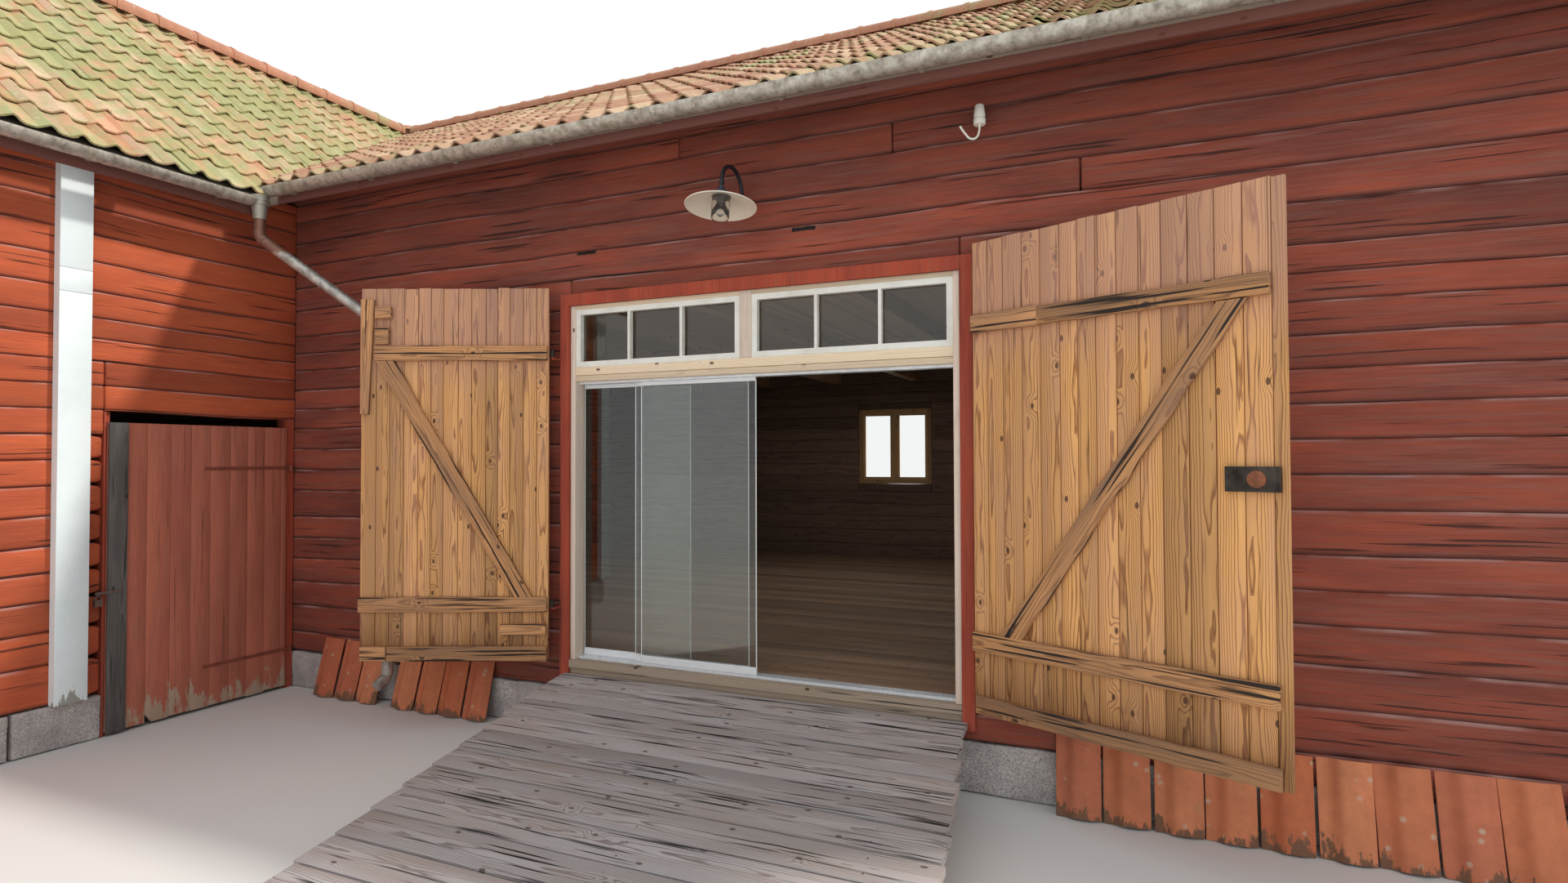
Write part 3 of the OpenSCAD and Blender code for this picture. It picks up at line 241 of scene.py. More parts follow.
# %% [markdown]
# ## Light and ground
# A barn front that faces away from the sun is lit by the whole sky. A plain world gives
# that, and one sun lamp stands behind the right end. Its height and bearing come from the
# edge of the shade on the wing: it reaches the wing and the roofs, and leaves the main
# front in its own shade. A faint lamp under the ceiling fills the room, which the open
# door alone would leave black. The world looks white to the camera, to mirrors and
# through glass, so the background stays white.

# %% Light and ground
scene = bpy.context.scene
scene.view_settings.view_transform = "Standard"
sky_strength = 0.95
sun_strength = 2.6
sun_height, sun_bearing = math.radians(43), math.radians(21.8)
scene.world = bpy.data.worlds.new("studio")
scene.world.use_nodes = True
sky = scene.world.node_tree
sky.nodes.clear()
path = add(sky, "LightPath", {})
seen = sums("MAXIMUM", path["Is Camera Ray"], path["Is Glossy Ray"])
seen = sums("MAXIMUM", seen, path["Is Transmission Ray"])
plain = add(sky, "Background", {"Color": (0.93, 0.97, 1, 1), "Strength": sky_strength})[0]
white = add(sky, "Background", {"Color": (1, 1, 1, 1), "Strength": 1})[0]
either = add(sky, "MixShader", {0: seen, 1: plain, 2: white})[0]
add(sky, "OutputWorld", {"Surface": either})

bpy.ops.object.light_add(type="SUN", rotation=(0, math.pi / 2 - sun_height, sun_bearing))
sun = bpy.context.object
sun.data.energy = sun_strength
sun.data.angle = math.radians(4)
sun.data.color = (1, 0.95, 0.87)

bpy.ops.object.light_add(type="AREA", location=(-0.5, 3.4, 3.1))
room_fill = bpy.context.object
room_fill.data.energy = 24
room_fill.data.size = 4
room_fill.visible_camera = room_fill.visible_glossy = room_fill.visible_transmission = False

bpy.ops.mesh.primitive_plane_add(size=160, location=(0, 0, 0))
ground = bpy.context.object
ground.name = "ground"
pale = new_finish("pale_floor", 0.9)
shader_of(pale)["Base Color"].default_value = (0.74, 0.73, 0.71, 1)
ground.data.materials.append(pale)
ground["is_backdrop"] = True

# %% [markdown]
# ## Wood
# A board keeps the pattern of the tree: rings cut lengthwise give long lines and arches,
# and branches give knots that the lines flow round. Each board carries a point attribute,
# grain, which holds its own coordinates, X along the board and the pith somewhere behind
# its face. The finish reads that, so no two boards match and the pattern turns with a door.
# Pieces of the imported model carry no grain, so their finish reads the building's own
# coordinates, turned so that X runs along the wood.

# %% Wood finishes
knot_scale, knot_share, middle_tone = 5.5, 0.45, 0.6


def ring_lines(tree, grain, spacing):
    """Returns (rings, knots): dark late wood lines, and a mask of the knots."""
    axes = axes_of(grain)
    face = add(tree, "CombineXYZ", {"X": times(axes["X"], 0.55), "Y": axes["Z"]})[0]
    distance, number = cells(face, knot_scale, voronoi_dimensions="2D")
    chosen = below(number, knot_share)
    knots = times(soft_map(distance, 0.065, 1, 0, "SMOOTHSTEP", 0.045), chosen)
    push = times(soft_map(distance, 0.3, 0.02, 0, "SMOOTHERSTEP"), chosen)
    push = plus(push, times(noise(stretched(grain, (1, 7, 7)), 1.1, 3), 0.05))
    pushed = add(tree, "CombineXYZ", {"X": times(axes["X"], 0.02), "Y": plus(axes["Y"], push),
                                      "Z": axes["Z"]})[0]
    rings = add(tree, "TexWave", {"Vector": pushed, "Scale": 0.314 / spacing, "Distortion": 1.2, "Detail": 2,
                                  "Detail Scale": 0.6},
                wave_type="RINGS", rings_direction="X", wave_profile="SAW")["Fac"]
    return rings, knots


def grain_of(tree, angles):
    """The board's own coordinates, or the building's, turned so that X runs along the wood."""
    if angles is None:
        return carried(tree, "grain")
    return stretched(place_of(tree), (1, 1, 1), angles, (0, 0.05, 0.03))


def toned(colour, angles, darkest, full):
    """Darkens a colour by its board's tone; a piece without tones gets a middle one."""
    if angles is None:
        shade = ramp(carried(colour.id_data, "tone"), (0.0, darkest), (full, 1.0))
    else:
        share = darkest + (1 - darkest) * middle_tone / full
        shade = (share, share, share, 1)
    return blend(1.0, colour, shade, "MULTIPLY")


def wood(name, light, dark, worn, angles=None, spacing=0.007, wear=0.35, ring_share=0.75, cracks=0.5,
         knot=(70, 40, 22), relief_depth=0.0012, crack_from=0.66, low_dirt=None, high_fade=None):
    """Bare wood; low_dirt and high_fade are heights where dirt ends and bleaching starts."""
    material = new_finish(name, 0.75)
    tree = material.node_tree
    grain = grain_of(tree, angles)
    rings, knots = ring_lines(tree, grain, spacing)
    late = ramp(rings, (0.0, 0.0), (0.62, 0.12), (0.88, 1.0), (1.0, 0.7))
    colour = blend(times(late, ring_share), paint(*light), paint(*dark))
    fibres = noise(stretched(grain, (4, 150, 150)), 1, 3)
    colour = blend(0.35, colour, ramp(fibres, (0.25, 0.66), (0.7, 1.0)), "MULTIPLY")
    patches = noise(stretched(grain, (1.2, 9, 9)), 1, 5, 0.6)
    patch_mask = ramp(patches, (0.5 - wear * 0.2, 0.0), (0.72, 1.0))
    colour = blend(times(patch_mask, wear, True), colour, paint(*worn))
    colour = toned(colour, angles, 0.6, 0.85)
    colour = blend(times(knots, 0.85), colour, paint(*knot))
    slits = noise(stretched(grain, (1.3, 55, 55)), 1, 2, 0.4)
    slit_mask = times(ramp(slits, (crack_from, 0.0), (crack_from + 0.06, 1.0)), cracks, True)
    if high_fade is not None:
        level = plus(axes_of(place_of(tree))["Z"], times(fibres, 0.5))
        faded = ramp(minus(level, high_fade + 0.1, True), (0.0, 0.0), (0.35, 1.0))
        colour = blend(times(faded, 0.5), colour, paint(184, 138, 126))
    colour = blend(slit_mask, colour, paint(*[v * 0.28 for v in dark]))
    if low_dirt is not None:
        level = times(plus(axes_of(place_of(tree))["Z"], times(patches, 0.7)), 0.4)
        damp = ramp(level, (low_dirt * 0.4, 1.0), (low_dirt * 0.4 + 0.2, 0.0))
        colour = blend(times(damp, 0.6), colour, blend(1.0, colour, paint(110, 84, 70), "MULTIPLY"))
    surface = plus(minus(times(late, 0.35), times(slit_mask, 1.6)), times(fibres, 0.25))
    return put_on(material, colour, relief(surface, relief_depth))


leaf_boards = wood("honey_pine_boards", (246, 184, 114), (140, 78, 38), (204, 156, 130), spacing=0.0085,
                   wear=0.5, ring_share=0.85, low_dirt=0.95, high_fade=2.75)
leaf_rails = wood("worn_pine_rails", (228, 166, 108), (134, 88, 56), (146, 112, 88), spacing=0.009, wear=0.8,
                  cracks=1.0, crack_from=0.58, relief_depth=0.003)
grey_planks = wood("weathered_ramp_planks", (200, 194, 194), (124, 114, 112), (166, 148, 136),
                   spacing=0.008, wear=0.65, ring_share=0.9, cracks=1.0, knot=(88, 74, 68),
                   relief_depth=0.003, crack_from=0.62)
room_logs = wood("bare_room_logs", (150, 122, 104), (112, 86, 72), (130, 106, 90), spacing=0.012)
pale_planed = wood("planed_pale_wood", (250, 228, 196), (226, 198, 166), (230, 208, 178),
                   spacing=0.01, wear=0.2, ring_share=0.5, cracks=0.1)

# %% [markdown]
# ## Red distemper
# Barn red is a matt paint with iron in it that sinks into the wood. It wears off the
# ridges and the wood's long drying cracks show through as black lines, so this finish
# has the same lengthwise coordinates as bare wood but almost no rings. A pale grey-pink
# highlight is painted along the upper arris of each log, and painted shade with some dirt
# darkens the lower one: the attribute rise says how high on its log a point lies.

# %% Red paint
def red_paint(name, fresh, dull, grey, wear, cracks, angles=None, logs=False):
    material = new_finish(name, 0.85)
    tree = material.node_tree
    grain = grain_of(tree, angles)
    clouds = noise(stretched(grain, (0.8, 5, 5)), 1, 5, 0.6)
    colour = blend(ramp(clouds, (0.35, 0.0), (0.68, 1.0)), paint(*fresh), paint(*dull))
    streaks = noise(stretched(grain, (1.6, 42, 42)), 1, 5, 0.65)
    colour = blend(times(ramp(streaks, (0.46, 0.0), (0.7, 1.0)), wear), colour, paint(*grey))
    fibres = noise(stretched(grain, (5, 190, 190)), 1, 3)
    colour = blend(0.5, colour, ramp(fibres, (0.3, 0.55), (0.65, 1.0)), "MULTIPLY")
    colour = toned(colour, angles, 0.7, 0.9)
    if logs:
        rise = carried(tree, "rise")
        # Painted highlight: a pale grey-pink line along the upper arris of each log, broken up by noise.
        arris = ramp(rise, (0.9, 0.0), (0.985, 1.0))
        highlight_breakup = ramp(noise(stretched(grain, (2.2, 1, 1)), 1, 3), (0.42, 0.0), (0.6, 1.0))
        colour = blend(times(times(arris, highlight_breakup), 0.6), colour, paint(196, 160, 154))
        # Painted shade with some dirt: a dark band along the lower arris of each log, at the seam.
        lower_shade_and_dirt = times(ramp(rise, (0.03, 1.0), (0.12, 0.0)), 0.65)
        colour = blend(lower_shade_and_dirt, colour, paint(58, 28, 24))
    slits = noise(stretched(grain, (0.9, 38, 38)), 1, 3, 0.5)
    slit_mask = times(ramp(slits, (0.64, 0.0), (0.69, 1.0)), cracks, True)
    colour = blend(slit_mask, colour, paint(34, 16, 13))
    surface = plus(minus(times(streaks, 0.5), times(slit_mask, 1.5)), times(fibres, 0.3))
    return put_on(material, colour, relief(surface, 0.004))


def painted_slot_shade(material, start, end, middle, tall):
    """Paints the shade of a narrow, splintered opening between two logs, at a place given along X and up;
    the logs stay whole.
    """
    tree = material.node_tree
    axes = axes_of(place_of(tree))
    jag = times(noise(stretched(place_of(tree), (30, 1, 90)), 1, 3), 0.02)
    level = plus(axes["Z"], minus(jag, 0.01))
    inside = below(sums("ABSOLUTE", minus(level, middle), 0), tall / 2)
    for test in (above(axes["X"], start), below(axes["X"], end), below(axes["Y"], 0.1)):
        inside = times(inside, test)
    return put_on(material, blend(inside, colour_of(material), paint(20, 12, 11)))


main_red = red_paint("main_wall_red", (172, 82, 58), (126, 62, 50), (142, 98, 86), 0.6, 0.8, logs=True)
# The wing walls carry the same red paint as the main range; this copy is lighter and more orange, with part
# of the sunlight on the wing painted in.
wing_red_painted_sun = red_paint("wing_wall_red_painted_sun", (206, 98, 56), (176, 78, 48), (160, 92, 66), 0.3, 0.8, logs=True)
# Two openings between logs are painted dark as shade, not cut.
for start, end, middle in ((-1.457, -1.279, 3.69), (0.361, 0.537, 3.67)):
    painted_slot_shade(main_red, start, end, middle, 0.026)

# %% [markdown]
# ## Metal, stone, oil paint and glass
# Pieces that are not wood read the object's coordinates. Metal, stone and paint are cloudy
# mixtures of tones. Two more tools change a finished recipe: one bares the wood at a foot,
# the other shifts the tone above or below a height.

# %% Metal, stone and paint
def metal(name, tone, dark, roughness=0.45, stain=0.5, metallic=0.85, run=1.0):
    """Weathered metal: cloudy oxide with darker runs of dirt down its side."""
    material = new_finish(name, roughness)
    place = place_of(material.node_tree)
    clouds = noise(place, 14, 6, 0.65)
    runs = noise(stretched(place, (22, 22, 3 * run)), 1, 4, 0.6)
    colour = blend(ramp(clouds, (0.38, 0.0), (0.66, 1.0)), paint(*tone), paint(*dark))
    runs = times(ramp(runs, (0.5, 0.0), (0.72, 1.0)), stain)
    colour = blend(runs, colour, paint(*[v * 0.62 for v in dark]))
    gloss = ramp(clouds, (0.3, roughness - 0.1), (0.7, min(1.0, roughness + 0.18)))
    shader_of(material)["Metallic"].default_value = metallic
    return put_on(material, colour, relief(noise(place, 40, 3), 0.0006), gloss)


def granite(name, tone, dark):
    """Rough stone: crystals in three greys, clouded with the darkest."""
    material = new_finish(name, 0.9)
    place = place_of(material.node_tree)
    palest = paint(*[min(255, v * 1.18) for v in tone])
    speck = ramp(cells(place, 180)[1], (0.0, paint(*dark)), (0.35, paint(*tone)), (1.0, palest))
    colour = blend(ramp(noise(place, 3, 6, 0.6), (0.35, 0.0), (0.7, 0.75)), speck, paint(*dark))
    bumps = plus(noise(place, 5, 6, 0.6), times(noise(place, 60, 3), 0.2))
    return put_on(material, colour, relief(bumps, 0.03))


def coat(name, tone, worn, roughness=0.5):
    """Plain oil paint: brush marks, slight yellowing and dirt in patches."""
    material = new_finish(name, roughness)
    place = place_of(material.node_tree)
    patches = ramp(noise(place, 4, 6, 0.7), (0.45, 0.0), (0.8, 0.8))
    strokes = noise(stretched(place, (90, 90, 4)), 1, 3)
    return put_on(material, blend(patches, paint(*tone), paint(*worn)), relief(strokes, 0.0008))


def flake_foot(material, bare, foot, reach):
    """Bares the wood where splashed rain has lifted the paint, from a foot up to a height."""
    place = place_of(material.node_tree)
    patches = noise(stretched(place, (14, 14, 4)), 1, 6, 0.7)
    share = sums("DIVIDE", minus(axes_of(place)["Z"], foot), reach)
    level = plus(minus(share, times(patches, 3.2)), 1.5)
    mask = ramp(level, (0.1, 1.0), (0.2, 0.0))
    return put_on(material, blend(mask, colour_of(material), paint(*bare)))


def shift_tone(material, tone, level, reach, right_of=-20):
    """Another tone above a height, or below it where reach is negative, with an uneven edge."""
    place = place_of(material.node_tree)
    axes = axes_of(place)
    share = sums("DIVIDE", minus(axes["Z"], level), reach)
    mask = ramp(plus(share, minus(noise(place, 25, 4, 0.6), 0.5)), (0.0, 0.0), (0.4, 0.85))
    mask = times(mask, above(axes["X"], right_of))
    return put_on(material, blend(mask, colour_of(material), paint(*tone)))


def clear_glass(name, tint):
    material = new_finish(name, 0.0)
    for socket, value in (("Transmission Weight", 1), ("IOR", 1.45), ("Base Color", (*tint, 1))):
        shader_of(material)[socket].default_value = value
    return material


# %% [markdown]
# ## Shaping tools
# Blender's operators work on whatever is selected, so each tool first sets the selection.
# A cuboid is the start of every log and board. Ring cuts give it enough points along its
# length to be made uneven, and a bevel takes off the sharp arrises.

# %% Helpers for shapes
hair = 0.001


def select_only(*pieces):
    """Selects these pieces alone and makes the first one active."""
    bpy.ops.object.select_all(action="DESELECT")
    for piece in pieces:
        piece.select_set(True)
    if pieces:
        bpy.context.view_layer.objects.active = pieces[0]


def edit_all(piece, tool, **settings):
    """Runs one mesh operator on all of a piece."""
    select_only(piece)
    bpy.ops.object.mode_set(mode="EDIT")
    bpy.ops.mesh.select_all(action="SELECT")
    tool(**settings)
    bpy.ops.object.mode_set(mode="OBJECT")


def cuboid(size, at=(0, 0, 0)):
    """A cuboid with its low corner at the given place."""
    select_only()
    bpy.ops.mesh.primitive_cube_add(size=1, location=[low + side / 2 for low, side in zip(at, size)])
    piece = bpy.context.object
    piece.scale = size
    bpy.ops.object.transform_apply(location=True, rotation=True, scale=True)
    return piece


def ring_cuts(piece, axis, count):
    """Divides every edge that runs along the axis."""
    if count < 1:
        return
    bpy.ops.object.mode_set(mode="EDIT")
    bpy.ops.mesh.select_mode(type="EDGE")
    bpy.ops.mesh.select_all(action="DESELECT")
    mesh = bmesh.from_edit_mesh(piece.data)
    for edge in mesh.edges:
        run = edge.verts[0].co - edge.verts[1].co
        edge.select_set(abs(run[axis]) > 0.999 * run.length)
    bmesh.update_edit_mesh(piece.data)
    bpy.ops.mesh.subdivide(number_cuts=count)
    bpy.ops.object.mode_set(mode="OBJECT")


def apply_tool(piece, kind, **settings):
    """Adds one modifier and applies it."""
    bpy.context.view_layer.objects.active = piece
    tool = piece.modifiers.new(kind.lower(), kind)
    for key, value in settings.items():
        setattr(tool, key, value)
    bpy.ops.object.modifier_apply(modifier=tool.name)


def soften(piece, width, segments=2):
    apply_tool(piece, "BEVEL", width=width, segments=segments, limit_method="ANGLE",
               angle_limit=math.radians(40), harden_normals=False)


def cloud_texture(name, scale, depth):
    cloud = bpy.data.textures.new(name, "CLOUDS")
    cloud.noise_scale = scale
    cloud.noise_depth = depth
    return cloud


def displace(piece, cloud, strength, middle, direction="NORMAL"):
    apply_tool(piece, "DISPLACE", texture=cloud, texture_coords="LOCAL", direction=direction,
               strength=strength, mid_level=middle)


def another(piece):
    """A copy with its own mesh."""
    copy = piece.copy()
    copy.data = piece.data.copy()
    bpy.context.scene.collection.objects.link(copy)
    return copy


def turned(outline, segments=32, at=(0, 0, 0)):
    """Turns an outline of (radius, height) pairs round the Z axis, ring by ring."""
    pole = 1e-4
    select_only()
    bpy.ops.mesh.primitive_circle_add(vertices=segments, radius=1)
    piece = bpy.context.object
    bpy.ops.object.mode_set(mode="EDIT")
    bpy.ops.mesh.select_all(action="SELECT")
    before, height = 1, 0
    for number, (radius, level) in enumerate(outline):
        if number:
            bpy.ops.mesh.extrude_edges_move()
        bpy.ops.transform.translate(value=(0, 0, level - height))
        share = max(radius, pole) / before
        bpy.ops.transform.resize(value=(share, share, 1), center_override=(0, 0, level))
        before, height = max(radius, pole), level
    bpy.ops.mesh.select_all(action="SELECT")
    bpy.ops.mesh.remove_doubles(threshold=2.1 * pole)
    bpy.ops.mesh.normals_make_consistent(inside=False)
    bpy.ops.object.mode_set(mode="OBJECT")
    piece.data.transform(shift(*at))
    return piece


def rod(places, radius, sides=12):
    """A round bar that bends smoothly through the given places."""
    select_only()
    bpy.ops.curve.primitive_nurbs_path_add()
    line = bpy.context.object
    line.data.splines.clear()
    spline = line.data.splines.new("BEZIER")
    spline.bezier_points.add(len(places) - 1)
    for point, place in zip(spline.bezier_points, places):
        point.co = place
        point.handle_left_type = point.handle_right_type = "AUTO"
    line.data.resolution_u = 8
    line.data.bevel_depth = radius
    line.data.bevel_resolution = sides // 4
    line.data.use_fill_caps = True
    bpy.ops.object.convert(target="MESH")
    return bpy.context.object


def join_as(name, pieces):
    select_only(*pieces)
    if len(pieces) > 1:
        bpy.ops.object.join()
    whole = bpy.context.view_layer.objects.active
    whole.name = whole.data.name = name
    return whole


def smooth_all(piece, degrees=40):
    select_only(piece)
    bpy.ops.object.shade_smooth_by_angle(angle=math.radians(degrees))


def points_of(piece):
    spots = np.empty(len(piece.data.vertices) * 3, np.float32)
    piece.data.vertices.foreach_get("co", spots)
    return spots.reshape(-1, 3)


def keep_points(piece, spots):
    piece.data.vertices.foreach_set("co", spots.astype(np.float32).ravel())
    piece.data.update()


def placed(piece, place):
    piece.data.transform(place)
    return piece


def keep_within(piece, axes, low=-np.inf, high=np.inf):
    spots = points_of(piece)
    spots[:, axes] = np.clip(spots[:, axes], low, high)
    keep_points(piece, spots)


def write(piece, name, values):
    """Stores a number or a vector for each point of a piece."""
    kind, field = ("FLOAT_VECTOR", "vector") if values.ndim == 2 else ("FLOAT", "value")
    if name not in piece.data.attributes:
        piece.data.attributes.new(name, kind, "POINT")
    piece.data.attributes[name].data.foreach_set(field, values.astype(np.float32).ravel())


def write_tone(piece, tone=None):
    value = chance.random() if tone is None else tone
    write(piece, "tone", np.full(len(piece.data.vertices), value))


def mark_board(piece, tone=None, pith=(0.02, 0.06)):
    """Writes grain and tone on a board that lies along X with its face at low Y."""
    spots = points_of(piece)
    low, high = spots.min(0), spots.max(0)
    grain = np.empty_like(spots)
    grain[:, 0] = spots[:, 0] + chance.uniform(0, 60)
    grain[:, 1] = spots[:, 1] - low[1] + chance.uniform(*pith)
    grain[:, 2] = spots[:, 2] - (low[2] + high[2]) / 2 + chance.uniform(-0.05, 0.05)
    write(piece, "grain", grain)
    write_tone(piece, tone)
    return piece


def dress(piece, *materials):
    piece.data.materials.clear()
    for material in materials:
        piece.data.materials.append(material)
    return piece


def belongs(piece, body, slot, *replaced):
    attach(piece, body)
    if replaced:
        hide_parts(*replaced)
    return piece


def hand_over(name, pieces, finish, body, slot, *replaced, place=None, degrees=40):
    """Joins, places, smooths and dresses pieces, and attaches them to their body; slot is not used.

    With degrees at 0 every face stays flat.
    """
    whole = join_as(name, pieces)
    if place is not None:
        whole.data.transform(place)
    if degrees:
        smooth_all(whole, degrees)
    return belongs(dress(whole, finish), body, slot, *replaced)


# %% [markdown]
# ## Log walls
# The walls are squared logs of 15 to 25 centimetres laid on each other. A wall is built as
# it was in life: one log a course, from the sill up, with each log's outer arrises worn
# round so that the seams read as dark lines. Then the whole wall gets two soft
# displacements, one that lets the seams wander and one that leaves the marks of the axe.

# %% Sizes of the courses
log_t = 0.15
sill_low = 0.33
sill_top = 0.50
course_heights = [0.25, 0.225, 0.215, 0.19, 0.19, 0.24, 0.19, 0.19, 0.19, 0.185, 0.18,
                  0.185, 0.155, 0.16, 0.24, 0.21, 0.2, 0.21, 0.2, 0.16, 0.2]
seams = [sill_low, sill_top]
for height in course_heights:
    seams.append(seams[-1] + height)
half_seams = [sill_low] + [(a + b) / 2 for a, b in zip(seams[1:], seams[2:])]
main_top, wing_top = seams[-1], seams[-2]
peak_course = 0.205


def levels_of(wall_seams, wall_top, peak=None):
    """Seams of one wall up to its top, and through a gable's peak in courses of one height."""
    levels = [z for z in wall_seams if z < wall_top - 0.02] + [wall_top]
    if peak is not None:
        while peak - levels[-1] > 1.5 * peak_course:
            levels.append(levels[-1] + peak_course)
        levels.append(peak)
    return levels


print("courses", len(seams) - 1, "top", round(main_top, 3))


# %% One log
seam_lap, butt_gap, blunt_end = 0.002, 0.004, 0.16


def hewn_log(length, height, step=0.16, blunt=False):
    """A squared log; blunt narrows its far end as an axe leaves it, and rounds it more."""
    log = cuboid((length, log_t, height + 2 * seam_lap), (0, 0, -seam_lap))
    ring_cuts(log, 0, int(length / step))
    ring_cuts(log, 2, 2)
    if blunt:
        spots = points_of(log)
        near = np.clip((spots[:, 0] - length + blunt_end) / blunt_end, 0, 1)[:, None] ** 2
        spots[:, 1:] += (np.array((log_t / 2, height / 2)) - spots[:, 1:]) * 0.2 * near
        keep_points(log, spots)
    soften(log, 0.026 if blunt else 0.016)
    mark_board(log, pith=(0.04, 0.08))
    write(log, "rise", np.clip(points_of(log)[:, 2] / height, 0, 1))
    return log


def wall_of_logs(name, courses, matrix, materials, step=0.16):
    """courses holds (start, end, low, high) in the wall's own plane, and True for a blunt end."""
    logs = []
    for start, end, low, high, *blunt in courses:
        log = dress(hewn_log(end - start, high - low, step, bool(blunt)), *materials)
        inner = [int(face.normal.y > 0.2) for face in log.data.polygons]
        log.data.transform(matrix @ shift(start, 0, low))
        log.data.polygons.foreach_set("material_index", inner)
        logs.append(log)
    return join_as(name, logs)


wander_cloud = cloud_texture("seam_wander", 1.3, 1)
axe_cloud = cloud_texture("axe_marks", 0.16, 2)


def weather_wall(wall):
    displace(wall, wander_cloud, 0.045, 0.5, "Z")
    displace(wall, axe_cloud, 0.009, 0.62)
    smooth_all(wall, 50)
    keep_within(wall, 2, low=sill_low + hair)
    print(wall.name, len(wall.data.polygons), "faces")


# %% [markdown]
# ### The yard front of the main range
# Above the doorway the logs run through from end to end, so the three frame pieces at the
# sides and over the door are dressed as one wall. Three courses have a joint where two
# logs meet end to end.

# %% Main front wall
left_low, left_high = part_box("front_wall_left")
right_low, right_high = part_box("front_wall_right")
over_low, over_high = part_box("front_wall_over_door")
front_joints = {20: [-0.537], 19: [1.08], 17: [2.244]}
front_courses = []
for number, (low, high) in enumerate(zip(seams, seams[1:])):
    if low >= over_low.z:
        ends = [left_low.x, *front_joints.get(number, []), right_high.x]
        spans = [(a, b - butt_gap, low) for a, b in zip(ends, ends[1:])]
    elif high <= over_low.z:
        spans = [(left_low.x, left_high.x, low), (right_low.x, right_high.x, low)]
    else:
        spans = [(left_low.x, over_low.x, low), (over_low.x, over_high.x, over_low.z),
                 (over_high.x, right_high.x, low)]
    front_courses += [(a, b, start, high) for a, b, start in spans]
front_wall = wall_of_logs("main_front_logs", front_courses, Matrix(), (main_red, room_logs), 0.12)
weather_wall(front_wall)
belongs(front_wall, "building", "red_logs", "front_wall_left", "front_wall_right", "front_wall_over_door")


# %% Wing walls towards the yard
def along_y(face_x, outward=1):
    """Places a wall that is drawn along X so that it runs along Y, facing +X or -X."""
    return shift(face_x, 0, 0) @ turn("Z", outward * math.pi / 2)


wing_low, wing_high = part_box("wing_wall")
lintel_low, lintel_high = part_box("wing_wall_over_door")
wing_levels = levels_of(half_seams, wing_top)
split_top = lintel_low.z + 0.4
wing_courses = []
for low, high in zip(wing_levels, wing_levels[1:]):
    if high <= lintel_low.z:
        wing_courses.append((wing_low.y, wing_high.y, low, high, True))
    elif high < split_top:
        wing_courses.append((wing_low.y, wing_high.y - butt_gap, low, high))
        wing_courses.append((lintel_low.y, lintel_high.y, max(low, lintel_low.z), high))
    else:
        wing_courses.append((wing_low.y, lintel_high.y, low, high))
yard_wall = wall_of_logs("wing_yard_logs", wing_courses, along_y(wing_high.x), (wing_red_painted_sun, room_logs), 0.12)
weather_wall(yard_wall)
belongs(yard_wall, "building", "red_logs", "wing_wall", "wing_wall_over_door")

# %% [markdown]
# ### Gables and hidden walls
# Where two walls meet, the logs of one lie half a course above those of the other, because
# they are notched over each other. A gable is stacked as a full rectangle first and then
# cut along both roof slopes with the bisect tool.

# %% Gables, back and left wall
main_pitch, wing_pitch = math.radians(30), math.radians(40)
ridge_y, ridge_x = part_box("roof_main_front")[1].y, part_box("roof_wing_right")[0].x


def cut_away(piece, point, normal, fill=True):
    """Removes what lies on the side of the plane that its normal points to."""
    edit_all(piece, bpy.ops.mesh.bisect, plane_co=point, plane_no=normal, use_fill=fill, clear_outer=True)


def cut_to_roof(wall, axis, ridge, top, slope, sides=(-1, 1)):
    """Cuts a wall along the slopes that fall from the ridge to its sides."""
    for side in sides:
        peak, normal = Vector((0, 0, top)), Vector((0, 0, 1))
        peak[axis] = ridge
        normal[axis] = side * math.tan(slope)
        cut_away(wall, peak, normal)


def plain_wall(name, node, levels, matrix, start, end, red):
    """A wall with no opening, stacked from full-length logs."""
    courses = [(start, end, a, b) for a, b in zip(levels, levels[1:])]
    wall = wall_of_logs(name, courses, matrix, (red, room_logs), 0.3)
    weather_wall(wall)
    return belongs(wall, "building", "red_logs", node)


gable_low, gable_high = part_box("right_gable_wall")
right_gable = plain_wall("right_gable_logs", "right_gable_wall",
                         levels_of(half_seams, main_top, gable_high.z), along_y(gable_high.x),
                         gable_low.y, gable_high.y, main_red)
cut_to_roof(right_gable, 1, ridge_y, gable_high.z, main_pitch)
gable_low, gable_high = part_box("wing_gable_wall")
wing_gable = plain_wall("wing_gable_logs", "wing_gable_wall", levels_of(seams, wing_top, gable_high.z),
                        shift(0, gable_low.y, 0), gable_low.x, gable_high.x, wing_red_painted_sun)
cut_to_roof(wing_gable, 0, ridge_x, gable_high.z, wing_pitch)
hidden_low, hidden_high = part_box("left_wall")
plain_wall("left_wall_logs", "left_wall", levels_of(half_seams, wing_top), along_y(hidden_low.x, -1),
           -hidden_high.y, -hidden_low.y, main_red)

back_low, back_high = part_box("back_wall")
window_low, window_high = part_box("back_window_frame")
back_courses = []
for low, high in zip(seams, seams[1:]):
    if low >= window_high.z or high <= window_low.z:
        back_courses.append((-back_high.x, -back_low.x, low, high))
        continue
    back_courses.append((-back_high.x, -window_high.x, low, high))
    back_courses.append((-window_low.x, -back_low.x, low, high))
    if low < window_low.z:
        back_courses.append((-window_high.x, -window_low.x, low, window_low.z))
    if high > window_high.z:
        back_courses.append((-window_high.x, -window_low.x, window_high.z, high))
back_logs = wall_of_logs("back_wall_logs", back_courses, shift(0, back_high.y, 0) @ turn("Z", math.pi),
                         (main_red, room_logs), 0.24)
weather_wall(back_logs)
cut_to_roof(back_logs, 0, ridge_x, gable_high.z, wing_pitch, (-1,))
belongs(back_logs, "building", "red_logs", "back_wall")

